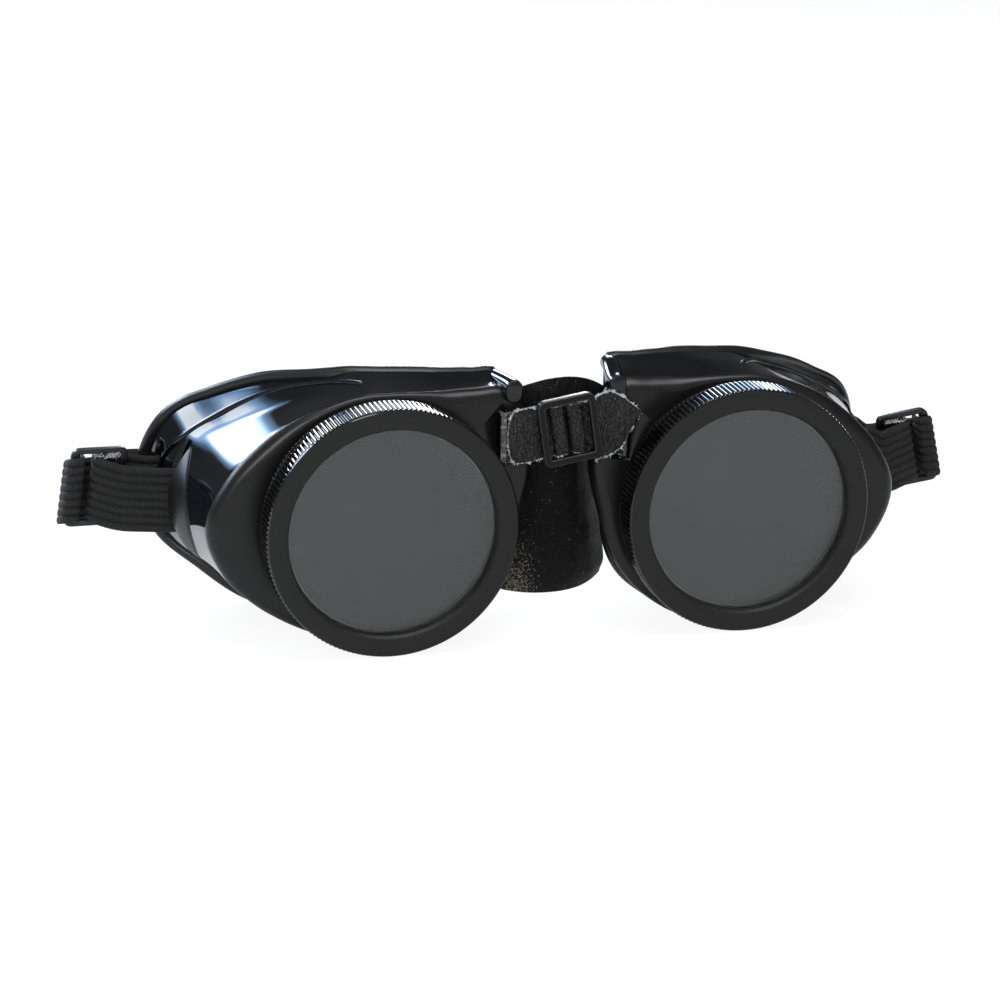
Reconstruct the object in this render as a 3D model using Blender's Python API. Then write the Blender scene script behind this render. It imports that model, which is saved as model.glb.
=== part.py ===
"""Round-lens screw-ring goggles: two moulded eyecups, each with a knurled ring that clamps a stack of
round lenses, joined by a leather bridge with a buckle and carried by an elastic band with two sliders.
Metres, +Z up, +X to the wearer's left, -Y ahead of the lenses. The origin is under the middle of it all."""

import math

import bmesh
import bpy
from mathutils import Matrix, Vector

MM = 0.001

# Fits
CLEARANCE = 0.3 * MM
CUT_OVERRUN = 1.0 * MM

# Lenses and what seals them
LENS_DIAMETER = 50.0 * MM
COVER_LENS_THICKNESS = 1.0 * MM
FILTER_LENS_THICKNESS = 2.0 * MM
WASHER_THICKNESS = 0.6 * MM
WASHER_WIDTH = 1.8 * MM
LENS_SIDES = 40
WASHER_SIDES = 32

# Screw ring
RING_WALL = 1.3 * MM
RING_OVERLAP = 1.5 * MM
RING_GAP = 25.3 * MM
RING_LIP = 1.8 * MM
RING_BEVEL = 1.0 * MM
RING_EDGE_SHARE = 0.3
KNURL_DEPTH = 8.0 * MM
KNURL_HEIGHT = 0.4 * MM
KNURL_FLUTES = 60
COLLAR_STEP = 0.7 * MM

# Cup
PLATE_FRONT = 10.5 * MM
CUP_DEPTH = 60.0 * MM
CUP_WALL = 2.0 * MM
NECK_WALL = 1.6 * MM
NECK_CHAMFER = 0.5 * MM
SEAT_WIDTH = 2.3 * MM
EDGE_RADIUS = 3.0 * MM
EDGE_SHARE = 0.55
WAIST = 1.2 * MM
BEAD_RADIUS = 1.9 * MM
CUP_SIDES = 48
WALL_STEPS = 5
ROUND_STEPS = 2
# Degrees round the lens from the temple over the brow, then shares of the ring's radius for the
# plate's edge and for the rim, and the rim's share of the cup's depth
TEMPLE_RIM_SHARE = 1.64
NOSE_RIM_SHARE = 0.39
CUP_SHARES = (
    (0, 1.38, TEMPLE_RIM_SHARE, 1.0),
    (16, 1.28, 1.56, 0.94),
    (31, 1.17, 1.32, 0.83),
    (47, 1.09, 1.17, 0.705),
    (62, 1.04, 1.10, 0.60),
    (79, 1.02, 1.09, 0.52),
    (97, 1.02, 1.096, 0.465),
    (115, 1.10, 1.20, 0.42),
    (126, 1.24, 1.34, 0.40),
    (133, 1.38, 1.46, 0.40),
    (139, 1.43, 1.33, 0.395),
    (152, 1.33, 1.13, NOSE_RIM_SHARE),
    (165, 1.25, 1.02, NOSE_RIM_SHARE),
    (181, 1.13, 0.99, NOSE_RIM_SHARE),
    (200, 1.09, 1.05, 0.395),
    (217, 1.07, 1.09, 0.40),
    (233, 1.055, 1.09, 0.42),
    (245, 1.05, 1.09, 0.44),
    (270, 1.0, 1.0, 0.52),
    (293, 1.03, 1.09, 0.63),
    (310, 1.09, 1.28, 0.75),
    (328, 1.20, 1.42, 0.87),
    (341, 1.30, 1.58, 0.965),
)

# Ear that closes the bead's forward run at the top of the nose side
EAR_RADIUS = 2.0 * MM
EAR_FRONT_DROP = 1.0 * MM
EAR_IN_SHARE = 1.045
EAR_UP_SHARE = 1.03
EAR_SIDES = 12
EAR_ANGLE = 133

# Rib along the brow and down the temple
RIB_RADIUS = 0.9 * MM
RIB_SIDES = 6
RIB_POINTS = 12
RIB_START = 82
RIB_END = 12
RIB_START_SHARE = 0.3
RIB_END_SHARE = 0.62

# Strap slots in the temple wall, with the hood over the front one
BAND_WIDTH = 14.3 * MM
BAND_THICKNESS = 1.3 * MM
BAND_DROP = 2.0 * MM
SLOT_WIDTH = 3.2 * MM
SLOT_HEIGHT = 19.0 * MM
REAR_SLOT_INSET = 10.0 * MM
SLOT_SPACING = 17.0 * MM
HOOD_LEAD = 10.0 * MM
HOOD_REACH = 13.5 * MM
HOOD_TOP = 14.5 * MM
HOOD_BOTTOM = 11.5 * MM
HOOD_HEIGHT = 3.4 * MM
HOOD_SKIN = 1.2 * MM
HOOD_SINK = 0.8 * MM
HOOD_STEPS = 8
HOOD_END_SHARE = 0.12
HOOD_MIDDLE_SHARE = 0.75
HOOD_ROUND_SHARE = 0.75

# Nose strap slot in the plate
STRAP_SLOT_LEAD = 0.35 * MM
STRAP_SLOT_WIDTH = 2.6 * MM
STRAP_SLOT_HEIGHT = 13.0 * MM
STRAP_STOP = 4.6 * MM

# Bridge: leather strap in two lengths, buckle and nose pad
STRAP_THICKNESS = 1.0 * MM
STRAP_END_WIDTH = 10.6 * MM
STRAP_WIDTH = 13.4 * MM
STRAP_WAIST_WIDTH = 10.6 * MM
STRAP_HEIGHT_SHARE = 0.653
STRAP_SLOT_DROP = 1.0 * MM
STRAP_TAIL_END = 12.4 * MM
ARROW_SHOULDER = 9.6 * MM
ARROW_TIP = 17.4 * MM
BRIDGE_TILT = 8
BUCKLE_WIDTH = 12.0 * MM
BUCKLE_HEIGHT = 15.3 * MM
BUCKLE_THICKNESS = 2.0 * MM
BUCKLE_RAIL = 1.8 * MM
BUCKLE_BAR = 1.0 * MM
BUCKLE_BAR_SPACING = 4.0 * MM
BUCKLE_CORNER = 1.6 * MM
BUCKLE_UP = 1.2 * MM
PAD_TOP_SHARE = 1.025
PAD_BOTTOM_SHARE = 0.765
PAD_TOP_HALF = 9.6 * MM
PAD_BOTTOM_HALF = 13.2 * MM
PAD_TOP_INSET = 9.2 * MM
PAD_BOTTOM_INSET = 4.8 * MM
PAD_THICKNESS = 3.0 * MM
PAD_SAG = 5.0 * MM
PAD_CROWN = 0.9 * MM
PAD_ROWS = 8
PAD_COLUMNS = 10

# Slider, a frame with three upright bars
SLIDER_REACH = 11.5 * MM
SLIDER_INSET = 13.2 * MM
SLIDER_WIDTH = 13.6 * MM
SLIDER_HEIGHT = 17.0 * MM
SLIDER_THICKNESS = 1.7 * MM
SLIDER_BAR = 2.1 * MM
SLIDER_RAIL = 1.3 * MM
SLIDER_CORNER = 1.4 * MM
SLIDER_UP = 0.8 * MM

# Headband behind the cups
BAND_BEHIND_RIM = 5.0 * MM
BAND_REAR_DROP = 5.6 * MM
BAND_ROUND_TEMPLE = 3.4 * MM
BAND_TURN_SHARE = 0.72
BAND_DROP_SHARE = 0.5
BAND_TURN = 14.0 * MM
BEND_SHARE = 0.5
CORNER_STEPS = 3
MITRE_SHARE = 0.6

# Smooth shading up to this turn between faces, in degrees
SMOOTH_ANGLE = 35

# Colours as red, green, blue, then roughness and metallic
GLOSS_BLACK = ((0.012, 0.013, 0.016), 0.12, 0.0)
SATIN_BLACK = ((0.022, 0.022, 0.023), 0.42, 0.0)
LEATHER_BLACK = ((0.016, 0.015, 0.014), 0.45, 0.0)
ELASTIC_BLACK = ((0.02, 0.02, 0.021), 0.85, 0.0)
RUBBER_BLACK = ((0.018, 0.018, 0.018), 0.7, 0.0)
FIBRE_GREY = ((0.12, 0.12, 0.11), 0.8, 0.0)
CLEAR_LENS = ((0.75, 0.78, 0.78), 0.05, 0.0)
DARK_LENS = ((0.02, 0.05, 0.035), 0.05, 0.0)

# Sizes that follow from those above
lensRadius = LENS_DIAMETER / 2
pocketRadius = lensRadius + CLEARANCE
neckRadius = pocketRadius + NECK_WALL
boreRadius = neckRadius + CLEARANCE
ringRadius = boreRadius + RING_WALL
lensOut = ringRadius + RING_GAP / 2
collarRadius = ringRadius - COLLAR_STEP
ringDepth = PLATE_FRONT - CLEARANCE
coverFront = RING_LIP + CLEARANCE
washerFront = coverFront + COVER_LENS_THICKNESS + CLEARANCE
filterFront = washerFront + WASHER_THICKNESS + CLEARANCE
gasketFront = filterFront + FILTER_LENS_THICKNESS + CLEARANCE
seatFront = gasketFront + WASHER_THICKNESS + CLEARANCE
neckFront = coverFront + CLEARANCE
seatRadius = pocketRadius - SEAT_WIDTH
plateBack = PLATE_FRONT + CUP_WALL
rearSlot = CUP_DEPTH - REAR_SLOT_INSET
frontSlot = rearSlot - SLOT_SPACING
hoodFront = frontSlot - HOOD_LEAD
noseRim = CUP_DEPTH * NOSE_RIM_SHARE
templeRim = lensOut + ringRadius * TEMPLE_RIM_SHARE
bandRear = CUP_DEPTH + BAND_BEHIND_RIM + BAND_THICKNESS
sliderMiddle = templeRim + SLIDER_REACH
sliderBack = CUP_DEPTH - SLIDER_INSET
floorDrop = ringRadius
middleBack = bandRear / 2
strapLower = PLATE_FRONT - CLEARANCE - STRAP_THICKNESS / 2
strapUpper = strapLower - CLEARANCE - STRAP_THICKNESS
buckleBack = strapUpper - STRAP_THICKNESS / 2 - CLEARANCE
buckleFront = buckleBack - BUCKLE_THICKNESS
barBack = strapLower - STRAP_THICKNESS / 2 - CLEARANCE
humpCentre = barBack - BUCKLE_BAR - CLEARANCE - STRAP_THICKNESS / 2
pivotBack = strapLower
strapSlotOut = RING_GAP / 2 + STRAP_SLOT_LEAD
strapHeight = ringRadius * STRAP_HEIGHT_SHARE
slotHeight = strapHeight - STRAP_SLOT_DROP
padTop = ringRadius * PAD_TOP_SHARE
padBottom = ringRadius * PAD_BOTTOM_SHARE
padTopFront = noseRim - PAD_TOP_INSET
padBottomFront = noseRim - PAD_BOTTOM_INSET


def clearScene():
    for found in list(bpy.data.objects):
        bpy.data.objects.remove(found, do_unlink=True)


def material(name, look):
    colour, roughness, metallic = look
    made = bpy.data.materials.new(name)
    made.use_nodes = True
    shader = made.node_tree.nodes["Principled BSDF"]
    shader.inputs["Base Color"].default_value = (*colour, 1.0)
    shader.inputs["Roughness"].default_value = roughness
    shader.inputs["Metallic"].default_value = metallic
    return made


def empty(name, at, parent=None):
    made = bpy.data.objects.new(name, None)
    bpy.context.collection.objects.link(made)
    made["place"] = tuple(at)
    made.parent = parent
    made.location = Vector(at) - (Vector(parent["place"]) if parent else Vector())
    return made


def finish(name, bm, at, parent, look, mirrored=False):
    """Makes the object at a place given in the lens frame, under its parent."""
    if mirrored:
        bmesh.ops.scale(bm, vec=(-1, 1, 1), verts=bm.verts)
        bmesh.ops.reverse_faces(bm, faces=bm.faces)
    mesh = bpy.data.meshes.new(name)
    bm.to_mesh(mesh)
    bm.free()
    made = bpy.data.objects.new(name, mesh)
    bpy.context.collection.objects.link(made)
    made.parent = parent
    made.location = Vector(at) - Vector(parent["place"])
    mesh.materials.append(material(name, look))
    mesh.shade_smooth()
    mesh.set_sharp_from_angle(angle=math.radians(SMOOTH_ANGLE))
    return made


def helper(name, bm, at, parent, mirrored=False):
    made = finish(name, bm, at, parent, SATIN_BLACK, mirrored)
    made.hide_render = True
    made.display_type = "WIRE"
    return made


def combine(target, other, operation):
    modifier = target.modifiers.new(other.name, "BOOLEAN")
    modifier.operation = operation
    modifier.solver = "EXACT"
    modifier.object = other


def closeLoops(bm, loops, ring):
    """Joins loops of equal length with faces; ring also joins the last loop to the first."""
    count = len(loops[0])
    pairs = list(zip(loops, loops[1:]))
    if ring:
        pairs.append((loops[-1], loops[0]))
    for first, second in pairs:
        for i in range(count):
            j = (i + 1) % count
            bm.faces.new((first[i], first[j], second[j], second[i]))


def outwards(bm):
    bmesh.ops.recalc_face_normals(bm, faces=bm.faces)
    if bm.calc_volume(signed=True) < 0:
        bmesh.ops.reverse_faces(bm, faces=bm.faces)


def turned(section, sides, flutes=0, flute=0.0):
    """Turns a closed section of (radius, depth, fluted) points round the Y axis."""
    bm = bmesh.new()
    loops = []
    for radius, depth, fluted in section:
        loop = []
        for i in range(sides):
            angle = 2 * math.pi * i / sides
            reach = radius - (flute if fluted and flutes and i % 2 else 0)
            loop.append(bm.verts.new((reach * math.cos(angle), depth, reach * math.sin(angle))))
        loops.append(loop)
    closeLoops(bm, loops, True)
    outwards(bm)
    return bm


def disc(radius, front, thickness, sides):
    bm = bmesh.new()
    loops = []
    for depth in (front, front + thickness):
        loop = []
        for i in range(sides):
            angle = 2 * math.pi * i / sides
            loop.append(bm.verts.new((radius * math.cos(angle), depth, radius * math.sin(angle))))
        loops.append(loop)
    closeLoops(bm, loops, False)
    bm.faces.new(loops[0])
    bm.faces.new(loops[1])
    outwards(bm)
    return bm


def block(low, high):
    bm = bmesh.new()
    size = Vector(high) - Vector(low)
    middle = (Vector(high) + Vector(low)) / 2
    bmesh.ops.create_cube(bm, size=1.0, matrix=Matrix.Translation(middle) @ Matrix.Diagonal((*size, 1)))
    return bm


def roundedFrame(width, height, corner, steps):
    """Points of a rectangle with round corners, centred, in the XZ plane."""
    points = []
    for k, (sx, sz) in enumerate(((1, 1), (-1, 1), (-1, -1), (1, -1))):
        for i in range(steps + 1):
            angle = math.pi / 2 * (k + i / steps)
            points.append(
                (
                    sx * (width / 2 - corner) + corner * math.cos(angle),
                    sz * (height / 2 - corner) + corner * math.sin(angle),
                )
            )
    return points


def slab(points, front, back):
    """Extrudes an outline in the XZ plane from front to back."""
    bm = bmesh.new()
    loops = [[bm.verts.new((x, depth, z)) for x, z in points] for depth in (front, back)]
    closeLoops(bm, loops, False)
    bm.faces.new(loops[0])
    bm.faces.new(loops[1])
    outwards(bm)
    return bm


def ribbon(path, thickness):
    """Sweeps an upright flat section along (x, y, z, width, lean) points in plan, with mitred turns."""
    bm = bmesh.new()
    flat = [Vector(point[:2]) for point in path]
    runs = [(second - first).normalized() for first, second in zip(flat, flat[1:])]
    loops = []
    for here, point, into, out in zip(flat, path, runs[:1] + runs, runs + runs[-1:]):
        along = (into + out).normalized()
        across = Vector((along.y, -along.x)) * (thickness / 2 / max(along.dot(out), MITRE_SHARE))
        z, half, lean = point[2], point[3] / 2, point[4]
        loop = []
        for offset, up in ((across, half), (-across, half), (-across, -half), (across, -half)):
            loop.append(bm.verts.new((here.x + offset.x + lean * up, here.y + offset.y, z + up)))
        loops.append(loop)
    closeLoops(bm, loops, False)
    bm.faces.new(loops[0])
    bm.faces.new(loops[-1])
    outwards(bm)
    return bm


def rounded(corners):
    """Path through (x, y, z, width, lean, bend) corners, each turned in plan within its bend's length."""
    path = [corners[0]]
    for before, here, after in zip(corners, corners[1:], corners[2:]):
        start, middle, end = Vector(before), Vector(here), Vector(after)
        into = start - middle
        out = end - middle
        cut = min(here[5], into.xy.length * BEND_SHARE, out.xy.length * BEND_SHARE)
        first = middle + into * (cut / into.xy.length)
        last = middle + out * (cut / out.xy.length)
        for i in range(CORNER_STEPS + 1):
            t = i / CORNER_STEPS
            path.append(tuple(first.lerp(middle, t).lerp(middle.lerp(last, t), t)))
    path.append(corners[-1])
    return path


def share(column, angle):
    """Reads a column of the cup's table at any angle, on a smooth closed curve."""
    rows = CUP_SHARES
    count = len(rows)
    angle %= 360
    k = max(i for i in range(count) if rows[i][0] <= angle)
    spans = []
    for i in (k - 1, k, k + 1, k + 2):
        spans.append((rows[i % count][0] + 360 * (i // count), rows[i % count][column]))
    (a0, v0), (a1, v1), (a2, v2), (a3, v3) = spans
    width = a2 - a1
    slopeIn = (v2 - v0) / (a2 - a0) * width
    slopeOut = (v3 - v1) / (a3 - a1) * width
    t = (angle - a1) / width
    return (
        (2 * t**3 - 3 * t**2 + 1) * v1
        + (t**3 - 2 * t**2 + t) * slopeIn
        + (3 * t**2 - 2 * t**3) * v2
        + (t**3 - t**2) * slopeOut
    )


def cupSizes(angle):
    """Plate reach, rim reach and rim depth at an angle, cut off flat at the floor."""
    down = -math.sin(math.radians(angle))
    limit = floorDrop / down if down > 0 else math.inf
    plate = min(share(1, angle) * ringRadius, limit)
    rim = min(share(2, angle) * ringRadius, limit)
    return plate, rim, share(3, angle) * CUP_DEPTH


def wallPoint(angle, t):
    """Reach and depth of the cup's outer wall, from the plate's edge at 0 to the bead at 1."""
    plate, rim, depth = cupSizes(angle)
    edge = min(EDGE_RADIUS, (plate - neckRadius) * EDGE_SHARE)
    start = PLATE_FRONT + edge
    end = depth - 2 * BEAD_RADIUS
    reach = plate + (rim - BEAD_RADIUS - plate) * t - WAIST * math.sin(math.pi * t)
    return reach, start + (end - start) * t


def cupSection(angle):
    """Closed section of the cup at an angle, as (reach, depth) points, outside first."""
    plate, rim, depth = cupSizes(angle)
    edge = min(EDGE_RADIUS, (plate - neckRadius) * EDGE_SHARE)
    points = [
        (neckRadius - NECK_CHAMFER, neckFront),
        (neckRadius, neckFront + NECK_CHAMFER),
        (neckRadius, PLATE_FRONT),
    ]
    for i in range(ROUND_STEPS + 1):
        turn = math.pi / 2 * i / ROUND_STEPS
        points.append((plate - edge + edge * math.sin(turn), PLATE_FRONT + edge * (1 - math.cos(turn))))
    for i in range(1, WALL_STEPS + 1):
        points.append(wallPoint(angle, i / WALL_STEPS))
    for i in range(1, 2 * ROUND_STEPS + 1):
        turn = math.pi * i / (2 * ROUND_STEPS)
        points.append(
            (
                rim - BEAD_RADIUS + BEAD_RADIUS * math.sin(turn),
                depth - BEAD_RADIUS - BEAD_RADIUS * math.cos(turn),
            )
        )
    points.append((rim - BEAD_RADIUS - CUP_WALL, depth))
    for i in range(WALL_STEPS, 0, -1):
        reach, back = wallPoint(angle, i / WALL_STEPS)
        points.append((reach - CUP_WALL, back))
    points.append((plate - CUP_WALL, PLATE_FRONT + edge + CUP_WALL * EDGE_SHARE))
    points.append((max(plate - CUP_WALL - edge, pocketRadius - SEAT_WIDTH * EDGE_SHARE), plateBack))
    points.append((seatRadius, plateBack))
    points.append((seatRadius, seatFront))
    points.append((pocketRadius, seatFront))
    points.append((pocketRadius, neckFront))
    return points


def cupShell():
    bm = bmesh.new()
    angles = [360 * i / CUP_SIDES for i in range(CUP_SIDES)]
    sections = [cupSection(angle) for angle in angles]
    loops = []
    for k in range(len(sections[0])):
        loop = []
        for angle, section in zip(angles, sections):
            reach, depth = section[k]
            turn = math.radians(angle)
            loop.append(bm.verts.new((reach * math.cos(turn), depth, reach * math.sin(turn))))
        loops.append(loop)
    closeLoops(bm, loops, True)
    outwards(bm)
    return bm


def rod(points, radius, sides):
    """Solid round rod through points, with flat ends square to the depth axis at the first one."""
    bm = bmesh.new()
    loops = []
    for i, point in enumerate(points):
        here = Vector(point)
        before = Vector(points[max(i - 1, 0)])
        after = Vector(points[min(i + 1, len(points) - 1)])
        along = (after - before).normalized()
        first = along.cross(Vector((0, 0, 1))).normalized()
        second = first.cross(along)
        loop = []
        for k in range(sides):
            turn = 2 * math.pi * k / sides
            loop.append(bm.verts.new(here + radius * (first * math.cos(turn) + second * math.sin(turn))))
        loops.append(loop)
    closeLoops(bm, loops, False)
    bm.faces.new(loops[0])
    bm.faces.new(loops[-1])
    outwards(bm)
    return bm


def onWall(angle, t, lift=0.0):
    reach, depth = wallPoint(angle, t)
    turn = math.radians(angle)
    return Vector(((reach + lift) * math.cos(turn), depth, (reach + lift) * math.sin(turn)))


def templeOut(depth, up):
    """Reach in X, from the lens axis, of the temple wall's outside at a depth and a height."""
    reach = lensOut
    for _ in range(4):
        angle = math.degrees(math.atan2(up, reach))
        near, far = onWall(angle, 0), onWall(angle, 1)
        t = min(max((depth - near.y) / (far.y - near.y), 0), 1)
        reach = onWall(angle, t).x
    return reach


def earRod():
    """The bead's forward run along the top of the nose side, ending in a flat-faced ear."""
    top = Vector((-EAR_IN_SHARE * ringRadius, PLATE_FRONT - EAR_FRONT_DROP, EAR_UP_SHARE * ringRadius))
    _, rim, depth = cupSizes(EAR_ANGLE)
    turn = math.radians(EAR_ANGLE)
    reach = rim - BEAD_RADIUS
    back = Vector((reach * math.cos(turn), depth - BEAD_RADIUS, reach * math.sin(turn)))
    ahead = Vector((top.x, top.y + EAR_RADIUS, top.z))
    return rod([top, ahead, back], EAR_RADIUS, EAR_SIDES)


def rib():
    points = []
    for i in range(RIB_POINTS):
        t = i / (RIB_POINTS - 1)
        angle = RIB_START + (RIB_END - RIB_START) * t
        points.append(onWall(angle, RIB_START_SHARE + (RIB_END_SHARE - RIB_START_SHARE) * t))
    return rod(points, RIB_RADIUS, RIB_SIDES)


def hoodSection(t):
    """Plan section of the hood at a share of its height, as four (x, y) points, and that height."""
    up = -BAND_DROP - HOOD_BOTTOM + t * (HOOD_TOP + HOOD_BOTTOM)
    bulge = max(math.sin(math.pi * t) ** HOOD_ROUND_SHARE, HOOD_END_SHARE)
    back = hoodFront + HOOD_REACH * bulge
    rise = HOOD_HEIGHT * bulge
    front = templeOut(hoodFront, up)
    rear = templeOut(back, up)
    half = (front + rear) / 2
    middle = (hoodFront + back) / 2
    return up, (
        (front - HOOD_SINK, hoodFront),
        (half + rise * HOOD_MIDDLE_SHARE, middle),
        (rear + rise, back),
        (rear - HOOD_SINK, back),
    )


def hood():
    bm = bmesh.new()
    loops = []
    for i in range(HOOD_STEPS + 1):
        up, section = hoodSection(i / HOOD_STEPS)
        loops.append([bm.verts.new((x, y, up)) for x, y in section])
    closeLoops(bm, loops, False)
    bm.faces.new(loops[0])
    bm.faces.new(loops[-1])
    outwards(bm)
    return bm


def templeBlock(inner, outer, front, back, height):
    """Upright cutter that follows the temple wall's slant, its faces given from the wall's outside."""
    bm = bmesh.new()
    loops = []
    for up in (-BAND_DROP - height / 2, -BAND_DROP + height / 2):
        frontOut = templeOut(front, -BAND_DROP)
        backOut = templeOut(back, -BAND_DROP)
        section = (
            (frontOut - inner, front),
            (frontOut + outer, front),
            (backOut + outer, back),
            (backOut - inner, back),
        )
        loops.append([bm.verts.new((x, y, up)) for x, y in section])
    closeLoops(bm, loops, False)
    bm.faces.new(loops[0])
    bm.faces.new(loops[-1])
    outwards(bm)
    return bm


def makeCup(side, name, at, parent):
    mirrored = side < 0
    cup = finish(name, cupShell(), at, parent, GLOSS_BLACK, mirrored)
    combine(cup, helper(name + "_ear", earRod(), at, parent, mirrored), "UNION")
    combine(cup, helper(name + "_rib", rib(), at, parent, mirrored), "UNION")
    combine(cup, helper(name + "_hood", hood(), at, parent, mirrored), "UNION")
    through = 2 * (CUP_WALL + CUT_OVERRUN)
    front = frontSlot - SLOT_WIDTH / 2
    under = templeBlock(0, HOOD_HEIGHT - HOOD_SKIN, front, frontSlot + HOOD_REACH, SLOT_HEIGHT)
    combine(cup, helper(name + "_under_hood", under, at, parent, mirrored), "DIFFERENCE")
    slot = templeBlock(through, CUT_OVERRUN / 2, front, front + SLOT_WIDTH, SLOT_HEIGHT)
    combine(cup, helper(name + "_front_slot", slot, at, parent, mirrored), "DIFFERENCE")
    rear = rearSlot - SLOT_WIDTH / 2
    slot = templeBlock(through, CUT_OVERRUN, rear, rear + SLOT_WIDTH, SLOT_HEIGHT)
    combine(cup, helper(name + "_rear_slot", slot, at, parent, mirrored), "DIFFERENCE")
    out = strapSlotOut - lensOut
    slot = block(
        (out, PLATE_FRONT - CUT_OVERRUN, slotHeight - STRAP_SLOT_HEIGHT / 2),
        (out + STRAP_SLOT_WIDTH, plateBack + EDGE_RADIUS, slotHeight + STRAP_SLOT_HEIGHT / 2),
    )
    combine(cup, helper(name + "_strap_slot", slot, at, parent, mirrored), "DIFFERENCE")
    return cup


def ringSection():
    opening = lensRadius - RING_OVERLAP
    return (
        (ringRadius - RING_BEVEL * RING_EDGE_SHARE, 0, False),
        (ringRadius, RING_BEVEL * RING_EDGE_SHARE, True),
        (ringRadius, KNURL_DEPTH, True),
        (collarRadius, KNURL_DEPTH, False),
        (collarRadius, ringDepth, False),
        (boreRadius, ringDepth, False),
        (boreRadius, RING_LIP, False),
        (opening, RING_LIP, False),
        (opening + RING_BEVEL, 0, False),
    )


def makeLensSide(word, at, parent):
    """Ring and lens stack of one cup, all turned round the lens axis."""
    lens = disc(lensRadius, coverFront, COVER_LENS_THICKNESS, LENS_SIDES)
    finish(word + "_cover_lens", lens, at, parent, CLEAR_LENS)
    lens = disc(lensRadius, filterFront, FILTER_LENS_THICKNESS, LENS_SIDES)
    finish(word + "_filter_lens", lens, at, parent, DARK_LENS)
    for name, front, look in (
        ("_spacer_washer", washerFront, FIBRE_GREY),
        ("_seat_gasket", gasketFront, RUBBER_BLACK),
    ):
        inner = lensRadius - WASHER_WIDTH
        back = front + WASHER_THICKNESS
        section = ((inner, front, 0), (lensRadius, front, 0), (lensRadius, back, 0), (inner, back, 0))
        finish(word + name, turned(section, WASHER_SIDES), at, parent, look)
    ring = turned(ringSection(), 2 * KNURL_FLUTES, KNURL_FLUTES, KNURL_HEIGHT)
    finish(word + "_screw_ring", ring, at, parent, SATIN_BLACK)


def sliderBody():
    """Plate of the slider before its windows are cut, centred on its own middle."""
    outline = roundedFrame(SLIDER_WIDTH, SLIDER_HEIGHT, SLIDER_CORNER, CORNER_STEPS)
    return slab(outline, -SLIDER_THICKNESS / 2, SLIDER_THICKNESS / 2)


def makeSlider(word, at, parent):
    slider = finish(word + "_slider", sliderBody(), at, parent, SATIN_BLACK)
    window = (SLIDER_WIDTH - 3 * SLIDER_BAR) / 2
    tall = SLIDER_HEIGHT / 2 - SLIDER_RAIL
    deep = SLIDER_THICKNESS / 2 + CUT_OVERRUN
    for name, start in (("_near", SLIDER_BAR / 2), ("_far", -SLIDER_BAR / 2 - window)):
        cutter = block((start, -deep, -tall), (start + window, deep, tall))
        combine(slider, helper(word + "_slider" + name, cutter, at, parent), "DIFFERENCE")
    return slider


def sliderOut(bar):
    """Distance from the middle to a bar's centre: -1 for the cup's side, 0 for the middle, 1 outside."""
    return sliderMiddle + bar * (SLIDER_WIDTH - SLIDER_BAR) / 2


def loopPath():
    """Band from its sewn end on the middle bar, in at the front slot and back behind the slider."""
    near = sliderBack - SLIDER_THICKNESS / 2 - CLEARANCE - BAND_THICKNESS / 2
    far = sliderBack + SLIDER_THICKNESS / 2 + CLEARANCE + BAND_THICKNESS / 2
    wrap = SLIDER_BAR / 2 + CLEARANCE + BAND_THICKNESS / 2
    wall = templeOut(frontSlot, -BAND_DROP) + lensOut
    back = templeOut(rearSlot, -BAND_DROP) + lensOut
    fall = wall - lensOut - templeOut(frontSlot, -BAND_DROP - BAND_WIDTH / 2)
    inside = CUP_WALL + WAIST + fall + CLEARANCE + BAND_THICKNESS / 2
    over = CLEARANCE + BAND_THICKNESS / 2
    edge = hoodFront + HOOD_REACH
    low = -BAND_DROP
    up = SLIDER_UP
    half = (low + up) / 2
    places = [
        (sliderOut(0) - wrap, far, up),
        (sliderOut(0) + wrap, far, up),
        (sliderOut(0) + wrap, near, up),
        (sliderOut(-1) - wrap, near, up),
        (templeOut(edge, low) + lensOut + 2 * over, edge + 2 * over, half),
        (wall + over, frontSlot + CLEARANCE, low),
        (wall - inside, frontSlot, low),
        (back - inside, rearSlot, low),
        (back + 2 * over, rearSlot, low),
        (sliderOut(-1) - wrap, far + 2 * over, half),
        (sliderOut(0) + wrap, far + 2 * over, up),
    ]
    return [(*place, BAND_WIDTH, 0, BAND_THICKNESS) for place in places]


def headbandPath():
    """Plan of the band behind the cups, from one slider's outer bar to the other's."""
    near = sliderBack - SLIDER_THICKNESS / 2 - CLEARANCE - BAND_THICKNESS / 2
    far = sliderBack + SLIDER_THICKNESS / 2 + CLEARANCE + BAND_THICKNESS / 2
    wrap = SLIDER_BAR / 2 + CLEARANCE + BAND_THICKNESS / 2
    behind = far + 2 * (CLEARANCE + BAND_THICKNESS)
    rear = bandRear - BAND_THICKNESS / 2
    half = [
        (sliderOut(1) - wrap, far, SLIDER_UP, BAND_THICKNESS),
        (sliderOut(1) - wrap, near, SLIDER_UP, BAND_THICKNESS),
        (sliderOut(1) + wrap, near, SLIDER_UP, BAND_THICKNESS),
        (sliderOut(1) + wrap, behind, SLIDER_UP, BAND_THICKNESS),
        (templeRim + BAND_ROUND_TEMPLE, behind + BAND_BEHIND_RIM * BAND_DROP_SHARE, SLIDER_UP, BAND_TURN),
        (templeRim + BAND_ROUND_TEMPLE, CUP_DEPTH, -BAND_REAR_DROP * BAND_DROP_SHARE, BAND_TURN),
        (templeRim * BAND_TURN_SHARE, rear, -BAND_REAR_DROP, BAND_TURN),
    ]
    right = [(x, y, z, BAND_WIDTH, 0, bend) for x, y, z, bend in half]
    left = [(-x, y, z, BAND_WIDTH, 0, bend) for x, y, z, bend in reversed(half)]
    return right + left


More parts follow.
